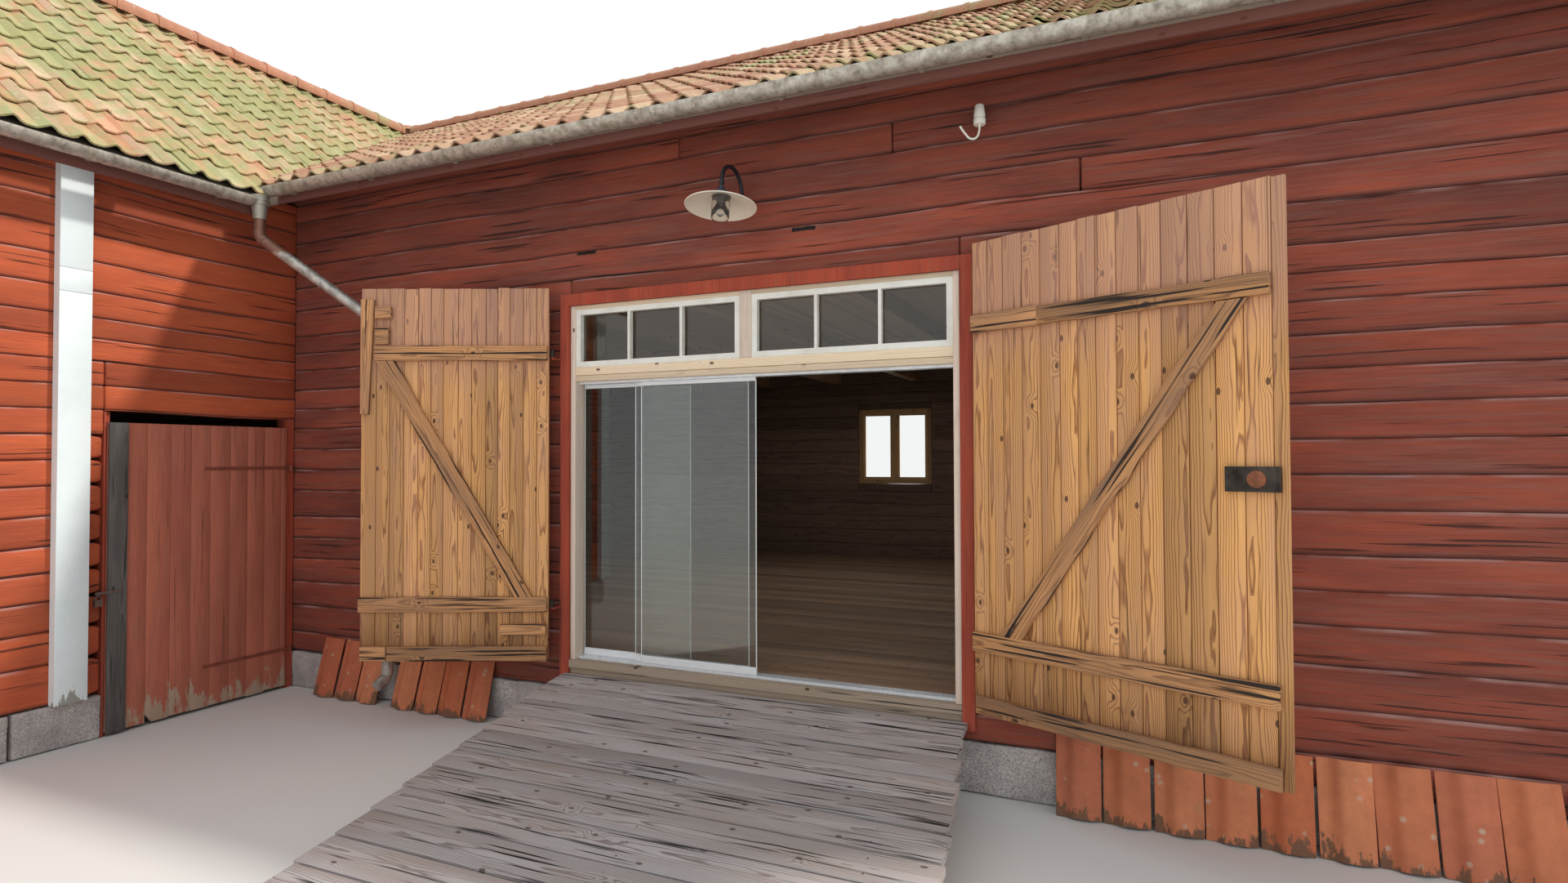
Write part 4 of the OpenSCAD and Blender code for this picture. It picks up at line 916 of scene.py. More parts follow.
# %% [markdown]
# ## Pantiles
# A pantile is a clay sheet pressed into a lying S. Its roll covers the edge of the next
# tile and its tail rests on the row below. One tile is shaped from a grid, column by
# column, and two array modifiers lay it over a whole slope. Then every tile gets a small
# turn and lift of its own, because hand-laid clay never lies true, and the field is cut
# along valley, hip and verge.

# %% One pantile
tile_w = 0.2
tile_row = 0.335
tile_lap = 0.075
tile_clay = 0.013
tile_wave = 0.021
tile_drop = 0.022
tile_columns = 8


def pantile():
    """A tile with its tail at y = 0, its highest point at z = 0, and its head uphill."""
    select_only()
    bpy.ops.mesh.primitive_grid_add(x_subdivisions=tile_columns, y_subdivisions=1, size=1,
                                    location=(0.5 * tile_w, 0.5 * (tile_row + tile_lap), 0))
    tile = bpy.context.object
    tile.scale = (tile_w * 1.1, tile_row + tile_lap, 1)
    bpy.ops.object.transform_apply(location=True, rotation=True, scale=True)
    for column in range(tile_columns + 1):
        bpy.ops.object.mode_set(mode="EDIT")
        bpy.ops.mesh.select_mode(type="VERT")
        bpy.ops.mesh.select_all(action="DESELECT")
        mesh = bmesh.from_edit_mesh(tile.data)
        left = min(v.co.x for v in mesh.verts)
        at = left + column * tile_w * 1.1 / tile_columns
        for vert in mesh.verts:
            vert.select_set(abs(vert.co.x - at) < 1e-4)
        bmesh.update_edit_mesh(tile.data)
        angle = 2 * math.pi * at / tile_w
        height = tile_wave * (math.sin(angle) - 0.28 * math.cos(2 * angle) - 1.25)
        bpy.ops.transform.translate(value=(0, 0, height))
        bpy.ops.object.mode_set(mode="OBJECT")
    spots = points_of(tile)
    spots[:, 2] -= spots[:, 1] / tile_row * tile_drop
    keep_points(tile, spots)
    apply_tool(tile, "SOLIDIFY", thickness=tile_clay, offset=-1)
    return tile


# %% A slope of pantiles
roof_slab = 0.09


def slope_of_tiles(name, width, depth, lift=0.004):
    """Lays tiles over a rectangle: width along the eave, depth up the slope."""
    field = pantile()
    per_tile = len(field.data.vertices)
    across, up = math.ceil(width / tile_w), math.ceil(depth / tile_row)
    for count, step in ((across, (tile_w, 0, 0)), (up, (0, tile_row, 0))):
        apply_tool(field, "ARRAY", count=count, use_relative_offset=False, use_constant_offset=True,
                   constant_offset_displace=step)
    spots = points_of(field)
    tones = np.empty(len(spots))
    for number in range(len(spots) // per_tile):
        part = slice(number * per_tile, (number + 1) * per_tile)
        middle = spots[part].mean(0)
        skew = chance.gauss(0, 0.012)
        local = spots[part] - middle
        spots[part, 0] = middle[0] + local[:, 0] - skew * local[:, 1] + chance.gauss(0, 0.0025)
        spots[part, 1] = middle[1] + local[:, 1] + skew * local[:, 0] + chance.gauss(0, 0.005)
        spots[part, 2] += chance.uniform(-lift, 0) + chance.gauss(0, 0.006) * local[:, 0] / tile_w
        tones[part] = chance.random()
    keep_points(field, spots)
    write(field, "tone", tones)
    print(name, across, "by", up, "tiles")
    return field


def lay_slope(name, heading, pitch, corner, width, clay_finish, shares):
    """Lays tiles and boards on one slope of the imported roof; each share is one list of cuts."""
    node = "roof_" + name
    low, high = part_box(node)
    slab = roof_slab / math.cos(pitch)
    depth = (high.z - low.z - slab) / math.sin(pitch)
    place = shift(*corner, low.z + slab) @ turn("Z", heading) @ turn("X", pitch)
    tiles = slope_of_tiles(name, width, depth)
    boards = cuboid((width, depth, 0.012), (0, 0, 0.0005 - roof_slab))
    for ending, field, finish, slot, replaced in (("_pantiles", tiles, clay_finish, "clay_tiles", (node,)),
                                                  ("_boards", boards, soffit_grey, "grey_wood", ())):
        field.data.transform(place)
        parts = []
        for cuts in shares:
            parts.append(another(field))
            for point, normal in cuts:
                cut_away(parts[-1], point, normal, field is boards)
        bpy.data.objects.remove(field)
        whole = join_as(name + ending, parts)
        keep_within(whole, slice(2), np.array(low)[:2], np.array(high)[:2])
        if slot == "clay_tiles":
            smooth_all(whole, 35)
        belongs(dress(whole, finish), "building", slot, *replaced)


# %% [markdown]
# ### Clay, moss and lichen
# Fired clay runs from buff to brick from tile to tile, so the base follows the tile's own
# tone. Moss grows over it in patches, and lichen in pale round spots.

# %% Tile finish
def clay(name, tones, moss_share):
    material = new_finish(name, 0.85)
    tree = material.node_tree
    place = place_of(tree)
    steps = [(i / (len(tones) - 1), paint(*tone)) for i, tone in enumerate(tones)]
    colour = ramp(carried(tree, "tone"), *steps)
    colour = blend(0.55, colour, ramp(noise(place, 9, 6, 0.7), (0.3, 0.5), (0.75, 1.0)), "MULTIPLY")
    moss = plus(times(noise(place, 0.55, 5, 0.6), 0.62), times(noise(place, 7, 5, 0.7), 0.38))
    moss_mask = ramp(moss, (0.62 - moss_share * 0.3, 0.0), (0.74 - moss_share * 0.3, 1.0))
    colour = blend(times(moss_mask, 0.75), colour, paint(152, 168, 112))
    distance, number = cells(place, 16)
    lichen = times(ramp(distance, (0.12, 1.0), (0.3, 0.0)), below(number, 0.22))
    colour = blend(times(lichen, 0.5), colour, paint(196, 192, 170))
    return put_on(material, colour, relief(noise(place, 60, 3), 0.002))


wing_clay = clay("wing_clay", [(206, 140, 108), (228, 176, 142), (214, 152, 118), (234, 198, 168),
                               (196, 148, 124)], 0.7)
main_clay = clay("main_clay", [(202, 162, 130), (182, 134, 106), (214, 182, 150), (170, 122, 98),
                               (198, 150, 120)], 0.35)
soffit_grey = wood("grey_soffit", (120, 112, 104), (86, 78, 72), (100, 92, 86))

# %% [markdown]
# ### Laying the four slopes
# Each slope starts at its own eave corner. The wing's roof is the steeper one, so the valley
# and the hip run askew in plan. They lie on one straight line through the point where the
# ridges meet, and an upright plane along it trims all four slopes. The wing's yard slope
# runs on past the valley's foot, so it is trimmed in two shares.

# %% Four slopes
front_low, front_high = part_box("roof_main_front")
back_roof_low, back_roof_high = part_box("roof_main_back")
wing_right_low, wing_right_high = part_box("roof_wing_right")
wing_left_low, wing_left_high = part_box("roof_wing_left")
meeting = Vector((ridge_x, ridge_y, 0))
hip_run = Vector((back_roof_low.x - ridge_x, back_roof_high.y - ridge_y, 0))
west = Vector((-hip_run.y, hip_run.x, 0)).normalized()
eave_line = Vector((0, front_low.y, 0))
along, across = Vector((1, 0, 0)), Vector((0, 1, 0))

lay_slope("main_front", 0, main_pitch, front_low.xy, front_high.x - front_low.x, main_clay,
          [[(meeting, west), (meeting, across), (front_high, along)]])
lay_slope("main_back", math.pi, main_pitch, back_roof_high.xy, back_roof_high.x - back_roof_low.x, main_clay,
          [[(meeting, west), (meeting, -across)]])
lay_slope("wing_right", math.pi / 2, wing_pitch, (wing_right_high.x, wing_right_low.y),
          wing_right_high.y - wing_right_low.y, wing_clay,
          [[(eave_line, across), (meeting, -along)],
           [(eave_line, -across), (meeting, -west), (meeting, -along)]])
lay_slope("wing_left", -math.pi / 2, wing_pitch, (wing_left_low.x, wing_left_high.y),
          wing_left_high.y - wing_left_low.y, wing_clay,
          [[(meeting, -west), (meeting, along), (wing_left_low, -across)]])

# %% [markdown]
# ## The two plank leaves
# Each leaf is a row of upright boards nailed to two ledges, with a brace that carries the
# free edge down to the lower hinge. They stand open, so the side that is indoors at night
# is the one that shows. A leaf is drawn flat, upright and facing the viewer, with its pin
# at X = 0, and then turned to its place. The boards keep their own widths and tones.

# %% Board makers
upright = turn("Y", -math.pi / 2)


def board(length, thick, height, step=0.3, edge=0.003, tone=None, wane=0.0):
    """A board along X with its visible face at low Y; wane makes its long edges uneven."""
    piece = cuboid((length, thick, height))
    ring_cuts(piece, 0, max(1, int(length / step)))
    if wane:
        spots = points_of(piece)
        inner = (spots[:, 0] > 0.001) & (spots[:, 0] < length - 0.001)
        for x in np.unique(spots[inner, 0].round(4)):
            ring = inner & (abs(spots[:, 0] - x) < 1e-3)
            low, high = chance.uniform(-wane, wane), chance.uniform(-wane, wane)
            spots[ring & (spots[:, 2] < height / 2), 2] += low
            spots[ring & (spots[:, 2] > height / 2), 2] += high
        keep_points(piece, spots)
    soften(piece, edge)
    return mark_board(piece, tone)


def level_board(start, end, face, thick, low, high, **more):
    """A board that lies along X between two places."""
    return placed(board(end - start, thick, high - low, **more), shift(start, face, low))


def post_board(left, right, face, thick, low, high, **more):
    """A board that stands along Z between two places."""
    return placed(board(high - low, thick, right - left, **more), shift(right, face, low) @ upright)


# %% Places of the leaves
joints = {joint["name"]: joint for joint in frame["joints"]}
pin_x, pin_y, _ = joints["right_leaf_hinge"]["pos_m"]
leaf_open = math.radians(156.5)
leaf_face, board_t, ledge_t = -0.0305, 0.028, 0.034
leaf_low, leaf_high = (corner.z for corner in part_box("right_leaf_boards"))
upper_ledge = leaf_low + 2.295
lower_ledge = leaf_low + 0.372
ledge_h = 0.115


def leaf_place(side):
    return shift(side * pin_x, pin_y, 0) @ turn("Z", -side * (math.pi - leaf_open))


print("pins at", round(pin_x, 3), "leaves from", round(leaf_low, 3), "to", round(leaf_high, 3))


# %% Boards of a leaf
def leaf_planks(side, width, count):
    start = 0.02
    shares = [chance.uniform(0.85, 1.15) for _ in range(count)]
    unit = (width - start) / sum(shares)
    planks = []
    for share in shares:
        wide = share * unit
        low, high = leaf_low + chance.uniform(0, 0.006), leaf_high - chance.uniform(0, 0.008)
        plank = board(high - low, board_t, wide - 0.0035, 0.5, 0.004)
        left = start if side > 0 else -start - wide
        planks.append(placed(plank, shift(left + wide - 0.001, leaf_face, low) @ upright))
        start += wide
    return planks


def leaf_rows(side, wane, rows):
    """Ledges across a leaf; each row is its two distances from the pin, foot, height and tone."""
    rails = []
    for start, end, low, tall, tone in rows:
        rail = board(end - start, ledge_t, tall, 0.16, 0.007, tone, wane)
        rails.append(placed(rail, shift(start if side > 0 else -end, leaf_face - ledge_t, low)))
    return rails


def brace(side, low_edge, high_edge, wide):
    """The slanting board from the lower ledge at the hinge to the upper ledge."""
    low_z, high_z = lower_ledge + ledge_h, upper_ledge
    run, lift = high_edge - low_edge, high_z - low_z
    spare = 0.2
    across = wide * math.sin(math.atan2(lift, run))
    piece = board(math.hypot(run, lift) + spare, ledge_t, across, 0.14, 0.009, 0.55, 0.007)
    piece.data.transform(shift(-spare / 2, 0, -across / 2))
    middle = ((low_edge + wide / 2) * side, leaf_face - ledge_t, low_z)
    piece.data.transform(shift(*middle) @ turn("Y", -math.atan2(lift, side * run)))
    cut_away(piece, (0, 0, low_z + hair), (0, 0, -1))
    cut_away(piece, (0, 0, high_z - hair), (0, 0, 1))
    return piece


# %% The right leaf
right_w, planks_end = 1.725, 1.665
right_planks = leaf_planks(1, planks_end, 14)
edge_plank = board(leaf_high - leaf_low - 0.01, board_t, right_w - planks_end - 0.002, 0.5, 0.003, 0.3)
right_planks.append(placed(edge_plank, shift(right_w, leaf_face, leaf_low) @ upright))
hand_over("right_leaf_planks", right_planks, leaf_boards, "right_leaf", "door_wood", "right_leaf_boards",
          place=leaf_place(1))
right_rails = leaf_rows(1, 0.004, [(0.025, 0.477, upper_ledge, ledge_h, 1.0),
                                   (0.465, 1.665, upper_ledge + 0.004, 0.106, 0.2),
                                   (0.025, 1.685, lower_ledge, ledge_h, 0.5),
                                   (0.045, 1.685, leaf_low + 0.001, 0.105, 0.15)])
right_rails.append(brace(1, 0.219, 1.435, 0.135))
hand_over("right_leaf_rails", right_rails, leaf_rails, "right_leaf", "door_wood", "right_leaf_ledges",
          place=leaf_place(1))

# %% Disc of the latch
latch_out, latch_up = 1.6, 1.435
rusty_disc = metal("rusty_disc", (150, 92, 62), (104, 62, 44), 0.7, 0.4, 0.2)
disc = turned([(0, 0), (0.04, 0), (0.042, 0.002), (0.04, 0.006), (0.012, 0.008), (0.009, 0.012),
               (0, 0.012)], 28)
latch_place = shift(latch_out, leaf_face - ledge_t, leaf_low + latch_up) @ turn("X", math.pi / 2)
hand_over("latch_disc", [disc], rusty_disc, "right_leaf", "iron", place=leaf_place(1) @ latch_place)

# %% The left leaf
left_w = 1.485
hand_over("left_leaf_planks", leaf_planks(-1, left_w - 0.02, 14), leaf_boards, "left_leaf", "door_wood",
          "left_leaf_boards", place=leaf_place(-1))
left_rails = leaf_rows(-1, 0.003, [(0.025, 1.353, upper_ledge, ledge_h, 0.7),
                                   (0.025, 1.466, lower_ledge, ledge_h, 0.6),
                                   (0.025, 1.246, leaf_low + 0.001, 0.112, 0.2),
                                   (1.252, 1.45, leaf_low + 0.003, 0.108, 0.8),
                                   (0.03, 0.383, 0.755, 0.083, 0.9),
                                   (1.223, 1.349, 3.174, 0.094, 0.8),
                                   (1.241, 1.348, 2.979, 0.132, 0.4)])
left_rails.append(brace(-1, 0.134, 1.202, 0.145))
stile_l, stile_foot, stile_head = 0.885, 0.062, 0.102
stile_edge, stile_low = -1.456, 2.44
stile = board(stile_l, ledge_t, stile_head, 0.2, 0.006, 0.9)
spots = points_of(stile)
spots[:, 2] *= (stile_foot + (stile_head - stile_foot) * spots[:, 0] / stile_l) / stile_head
keep_points(stile, spots)
stile.data.transform(shift(stile_edge, leaf_face - ledge_t, stile_low) @ upright
                     @ Matrix.Scale(-1, 4, (0, 0, 1)))
edit_all(stile, bpy.ops.mesh.normals_make_consistent, inside=False)
hand_over("left_leaf_rails", left_rails + [stile], leaf_rails, "left_leaf", "door_wood", "left_leaf_ledges",
          place=leaf_place(-1))

# %% [markdown]
# ## Ramp and floor
# The ramp's planks have lain in the rain for years: their arrises are round, their ends
# are ragged, and the grain stands out in grey ridges. They lie on bearers with a finger's
# gap between them. The room's floor is made of wide planks in the same way, only cleaner.

# %% Ramp planks
ramp_w, ramp_count, plank_step, plank_w, plank_t = 3.13, 12, 0.24, 0.226, 0.048
ramp_z, ramp_start, ramp_skew = 0.45, -0.035, 0.12
bearer_x, bearer_w, bearer_h = ramp_w / 2 - 0.365, 0.08, 0.1
ramp_fall = (ramp_z - plank_t - 0.01) / (ramp_count * plank_step)
ramp_slope = math.atan(ramp_fall)


def on_ramp(out_by, x=0):
    """A place on the ramp's sloping top, at a distance from its upper end."""
    return (shift(ramp_skew * out_by + x, ramp_start - out_by, ramp_z - out_by * ramp_fall)
            @ turn("X", ramp_slope))


ramp_pieces = []
for number in range(ramp_count):
    trim = chance.uniform(0, 0.02)
    length, wide = ramp_w - trim - chance.uniform(0, 0.02), plank_w + chance.uniform(0, 0.006)
    plank = board(length, plank_t - 0.002, wide, 0.2, 0.007, None, 0.0015)
    spots = points_of(plank)
    spots[:, 1] += 0.002 + 0.0015 * np.sin(spots[:, 0] * 5 + number)
    keep_points(plank, spots)
    plank.data.transform(on_ramp(number * plank_step, trim - ramp_w / 2) @ shift(0, -plank_w, 0)
                         @ turn("X", -math.pi / 2))
    ramp_pieces.append(plank)
for x in (-bearer_x, 0, bearer_x):
    bearer = board(ramp_count * plank_step - 0.1, bearer_w, bearer_h, 0.4, 0.005, 0.2)
    bearer.data.transform(shift(x, -0.012, ramp_z - plank_t - bearer_h - 0.003) @ turn("X", ramp_slope)
                          @ turn("Z", math.atan(ramp_skew) - math.pi / 2))
    ramp_pieces.append(bearer)
ramp_deck = join_as("ramp_planks", ramp_pieces)
cut_away(ramp_deck, (0, 0, hair), (0, 0, -1))
hand_over("ramp_planks", [ramp_deck], grey_planks, "building", "grey_wood", "ramp")

# %% Floor planks
floor_low, floor_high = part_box("floor")
floor_brown = wood("worn_floor", (160, 126, 98), (120, 90, 68), (164, 142, 120), spacing=0.01, wear=0.6,
                   cracks=0.4)
floor_planks = []
y = floor_low.y
while y < floor_high.y - 0.05:
    wide = min(chance.uniform(0.15, 0.2), floor_high.y - y)
    plank = board(floor_high.x - floor_low.x, floor_high.z - floor_low.z, wide - 0.003, 1.2, 0.004)
    floor_planks.append(placed(plank, shift(floor_low.x, y, floor_high.z) @ turn("X", -math.pi / 2)))
    y += wide
hand_over("room_floor_planks", floor_planks, floor_brown, "building", "inside_wood", "floor")

# %% [markdown]
# ## Finishes for the frame's own pieces
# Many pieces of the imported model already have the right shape, such as the red casing,
# the gutters and the rafters. They keep their meshes and get a finish that reads the
# object's coordinates, because they carry no grain attribute.

# %% Finishes of the frame's own pieces
level, across_house, on_end = (0, 0, 0), (0, 0, math.pi / 2), (0, math.pi / 2, 0)
stone = granite("granite", (192, 184, 180), (134, 127, 124))
zinc = metal("weathered_zinc", (206, 202, 190), (152, 144, 130), 0.45, 0.5, 0.5, 6)
pipe_zinc = metal("pipe_zinc", (206, 204, 198), (150, 142, 132), 0.45, 0.5, 0.6)
black_iron = metal("black_iron", (74, 66, 60), (48, 42, 38), 0.55, 0.4, 0.6)
aluminium = metal("track_aluminium", (232, 236, 240), (212, 218, 224), 0.3, 0.1, 0.3)
grey_level = wood("grey_level_wood", (188, 168, 146), (140, 122, 106), (168, 152, 138), level,
                  spacing=0.009, wear=0.6, cracks=0.9)
eaves_grey = wood("eaves_wood", (178, 160, 142), (136, 120, 106), (162, 146, 134), level,
                  spacing=0.009, wear=0.6, cracks=0.9)
ceiling_pale = wood("ceiling_boards", (212, 184, 148), (178, 146, 112), (186, 158, 126), across_house,
                    spacing=0.012, wear=0.3, cracks=0.3)
casing_red = red_paint("casing_red", (196, 84, 56), (160, 66, 48), (170, 104, 82), 0.4, 0.5, on_end)
rafter_red = red_paint("rafter_red", (168, 70, 50), (136, 56, 44), (130, 84, 74), 0.4, 0.5, across_house)
ridge_clay = clay("ridge_clay", [(196, 138, 110), (210, 156, 126), (182, 124, 98)], 0.3)
sash_white = coat("white_sash_paint", (236, 236, 228), (206, 200, 186))
window_glass = clear_glass("window_glass", (0.95, 0.98, 0.96))


def finish_node(material, *names):
    for name in names:
        dress(nodes[name], material)


pipe_top, hopper_h, rust_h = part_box("downpipe")[1].z, 0.2, 0.3
shift_tone(pipe_zinc, (128, 80, 58), pipe_top - hopper_h - rust_h, 0.1)
shift_tone(pipe_zinc, (176, 174, 164), pipe_top - hopper_h, 0.01)
gutter_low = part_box("gutters")[0]
# Low on the eaves boards, near the gutter, a dark red is painted: the wall's red with painted shade under
# the gutter.
shift_tone(eaves_grey, (104, 44, 37), gutter_low.z + 0.03, -0.008)
shift_tone(eaves_grey, (104, 44, 37), pipe_top + 0.04, -0.008, gutter_low.x + 0.1)
finish_node(zinc, "gutters")
finish_node(pipe_zinc, "downpipe")
finish_node(black_iron, "left_leaf_irons", "right_leaf_irons")
finish_node(aluminium, "glass_tracks")
finish_node(grey_level, "threshold")
finish_node(eaves_grey, "eaves_boards")
finish_node(ceiling_pale, "ceiling")
finish_node(casing_red, "door_casing", "wing_door_frame")
finish_node(rafter_red, "rafters")
finish_node(ridge_clay, "ridge_tiles")
finish_node(sash_white, "transom_sashes")
finish_node(window_glass, "transom_glass")

# %% [markdown]
# ## Frame of the doorway
# Planed, unpainted boards stand and lie inside the red casing. Upright and level pieces
# need their own grain direction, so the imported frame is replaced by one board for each
# real one. The bar under the sashes has a step that throws a thin shadow.

# %% Doorway frame
frame_low, frame_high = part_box("door_frame")
tracks_low, tracks_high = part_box("glass_tracks")
sash_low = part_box("transom_sashes")[0]
frame_d, head_low, half_mullion = frame_high.y, frame_high.z - 0.03, 0.045
bar_step, bar_seam = 0.006, tracks_high.z + 0.044
post_pale = wood("post_wood", (246, 226, 208), (220, 198, 178), (228, 208, 192),
                 spacing=0.01, wear=0.4, ring_share=0.5, cracks=0.2)
hand_over("doorway_posts", [
    post_board(frame_low.x, tracks_low.x, 0, frame_d, frame_low.z, frame_high.z, tone=0.6),
    post_board(tracks_high.x, frame_high.x, 0, frame_d, frame_low.z, frame_high.z, tone=0.7),
    post_board(-half_mullion, half_mullion, 0, frame_d, sash_low.z, frame_high.z, tone=0.5)],
    post_pale, "building", "pale_wood", "door_frame")
hand_over("doorway_bars", [
    level_board(tracks_low.x, tracks_high.x, bar_step, frame_d - bar_step, tracks_high.z, bar_seam,
                tone=0.4),
    level_board(tracks_low.x, tracks_high.x, 0, frame_d, bar_seam + 0.002, sash_low.z - 0.001, tone=1.0),
    level_board(tracks_low.x, -half_mullion, 0, frame_d, head_low, frame_high.z),
    level_board(half_mullion, tracks_high.x, 0, frame_d, head_low, frame_high.z)],
    pale_planed, "building", "pale_wood")

# %% [markdown]
# ## Sliding glass
# The three panels have no side frames: a sheet of toughened glass stands in a low white
# profile and runs under a slim top rail, and its ground edges catch the light as thin pale
# lines. The sheet is a real, thin slab, so that it mirrors on both faces.

# %% Glass panels
glass_sheet_t, edge_w, bottom_rail, top_rail = 0.008, 0.006, 0.055, 0.03
white_profile = coat("white_profile", (228, 232, 234), (208, 212, 214), 0.35)
ground_edge = coat("ground_glass_edge", (240, 246, 244), (222, 234, 232), 0.3)


def slab(low, high, edge=0.001, segments=1):
    piece = cuboid(np.subtract(high, low), low)
    soften(piece, edge, segments)
    return piece


for node, body in (("glass_panel_fixed", "building"), ("glass_panel_middle", "middle_panel"),
                   ("glass_panel_lead", "lead_panel")):
    low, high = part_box(node)
    near, far = ((low.y + high.y + side * glass_sheet_t) / 2 for side in (-1, 1))
    sheet_low, sheet_high = low.z + bottom_rail, high.z - top_rail
    sheet = slab((low.x + edge_w, near, sheet_low - 0.012), (high.x - edge_w, far, sheet_high + 0.01))
    rails = [slab(low, (high.x, high.y, sheet_low), 0.004, 2),
             slab((low.x + 0.002, low.y + 0.002, sheet_high), (high.x - 0.002, high.y - 0.002, high.z),
                  0.003, 2)]
    edges = [slab((x, near, sheet_low - 0.01), (x + edge_w, far, sheet_high + 0.008))
             for x in (low.x, high.x - edge_w)]
    hand_over(node + "_sheet", [sheet], window_glass, body, "window_glass", node, degrees=0)
    hand_over(node + "_rails", rails, white_profile, body, "aluminium", degrees=0)
    hand_over(node + "_edges", edges, ground_edge, body, "window_glass", degrees=0)

# %% [markdown]
# ### The back window
# Through the doorway one sees a window in the back wall, with two casements of one pane
# each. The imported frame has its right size; this adds the casements' stiles and rails and
# a pane that one can see through.

# %% Back window
sash_t, stile_w, back_frame_w, pane_lap = 0.036, 0.042, 0.06, 0.006
frame_face, frame_deep = window_low.y, window_high.y - window_low.y
sash_face = frame_face + 0.017
left_in, right_in = window_low.x + back_frame_w, window_high.x - back_frame_w
foot, head = window_low.z + back_frame_w, window_high.z - back_frame_w
middle_x = (window_low.x + window_high.x) / 2
mullion_left, mullion_right = middle_x - back_frame_w / 2, middle_x + back_frame_w / 2
honey_frame = wood("back_window_wood", (226, 184, 132), (186, 138, 90), (196, 156, 116), spacing=0.01,
                   wear=0.3, cracks=0.2)
window_pieces = [post_board(left, right, frame_face, frame_deep, low, high) for left, right, low, high in (
    (window_low.x, left_in, window_low.z, window_high.z),
    (right_in, window_high.x, window_low.z, window_high.z),
    (mullion_left, mullion_right, foot, head))]
for low, high in ((window_low.z, foot), (head, window_high.z)):
    window_pieces.append(level_board(left_in, right_in, frame_face, frame_deep, low, high))
panes = []
for left, right in ((left_in, mullion_left), (mullion_right, right_in)):
    for x in (left, right - stile_w):
        window_pieces.append(post_board(x, x + stile_w, sash_face, sash_t, foot, head, tone=0.9))
    for z in (foot, head - stile_w):
        window_pieces.append(level_board(left + stile_w, right - stile_w, sash_face, sash_t, z, z + stile_w,
                                         tone=0.9))
    panes.append(slab((left + stile_w - pane_lap, sash_face + 0.016, foot + stile_w - pane_lap),
                      (right - stile_w + pane_lap, sash_face + 0.02, head - stile_w + pane_lap)))
hand_over("back_window_boards", window_pieces, honey_frame, "building", "pale_wood", "back_window_frame")
hand_over("back_window_panes", panes, window_glass, "building", "window_glass", degrees=0)

# %% [markdown]
# ## The wing's door
# Ten painted boards of uneven widths hang on two ledges. The paint has lifted at the foot,
# where rain splashes up from the yard, and the batten at the closing edge was never
# painted at all. The hasp and the padlock are bare steel, the straps are painted over.

# %% Wing door
door_low, door_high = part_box("wing_door_boards")
batten_t, batten_w, wing_board_t, wing_ledge_t, ledge_in = 0.022, 0.13, 0.032, 0.034, 0.04
door_face = door_high.x - batten_t
plank_widths = [0.136, 0.137, 0.173, 0.156, 0.156, 0.163, 0.149, 0.154, 0.153, 0.053]
broken_plank = 2
wing_door_red = red_paint("wing_door_red", (200, 114, 88), (176, 98, 78), (180, 124, 106), 0.4, 0.35)
flake_foot(wing_door_red, (178, 152, 130), 0.02, 0.42)
wing_planks = []
at = door_low.y
for number, wide in enumerate(plank_widths):
    foot = door_low.z + chance.uniform(0, 0.014)
    plank = board(door_high.z - foot, wing_board_t, wide - 0.002, 0.4, 0.0015, chance.uniform(0.55, 1))
    plank.data.transform(along_y(door_face) @ shift(at + wide - 0.001, 0, foot) @ upright)
    if number == broken_plank:
        cut_away(plank, (door_face, at, foot + 0.07), Vector((0, -0.8, -0.6)))
    wing_planks.append(plank)
    at += wide
for middle in (0.36, 2.02):
    ledge = board(door_high.y - door_low.y - 2 * ledge_in, wing_ledge_t, ledge_h)
    wing_planks.append(placed(ledge, along_y(door_face - wing_board_t)
                              @ shift(door_low.y + ledge_in, 0, middle - ledge_h / 2)))
hand_over("wing_door_planks", wing_planks, wing_door_red, "wing_door", "red_boards", "wing_door_boards")

unpainted = wood("unpainted_batten", (128, 122, 118), (70, 64, 60), (58, 52, 50), spacing=0.008, wear=0.8,
                 cracks=0.9, knot=(36, 32, 30))
batten = board(door_high.z - door_low.z, batten_t - 0.0005, batten_w, 0.2, 0.003, 0.5, 0.001)
batten_place = along_y(door_high.x) @ shift(door_low.y + batten_w, 0, door_low.z) @ upright
hand_over("wing_door_batten", [batten], unpainted, "wing_door", "grey_wood", place=batten_place)

# %% Irons of the wing's door
lock_low, lock_high = 0.9, 1.2
door_irons = metal("wing_door_iron", (146, 78, 58), (120, 62, 48), 0.6, 0.4, 0.15)
place = place_of(door_irons.node_tree)
height = axes_of(place)["Z"]
bare = times(above(height, lock_low), below(height, lock_high))
steel = ramp(noise(place, 30, 4), (0.42, paint(96, 92, 90)), (0.62, paint(112, 76, 56)))
finish_node(put_on(door_irons, blend(bare, colour_of(door_irons), steel)), "wing_door_irons")

# %% [markdown]
# ## White boxes
# Where the wing's cross walls are notched through its yard wall, boards box in the log
# ends. The front board is made up of lengths, and its foot is stained by splashes.

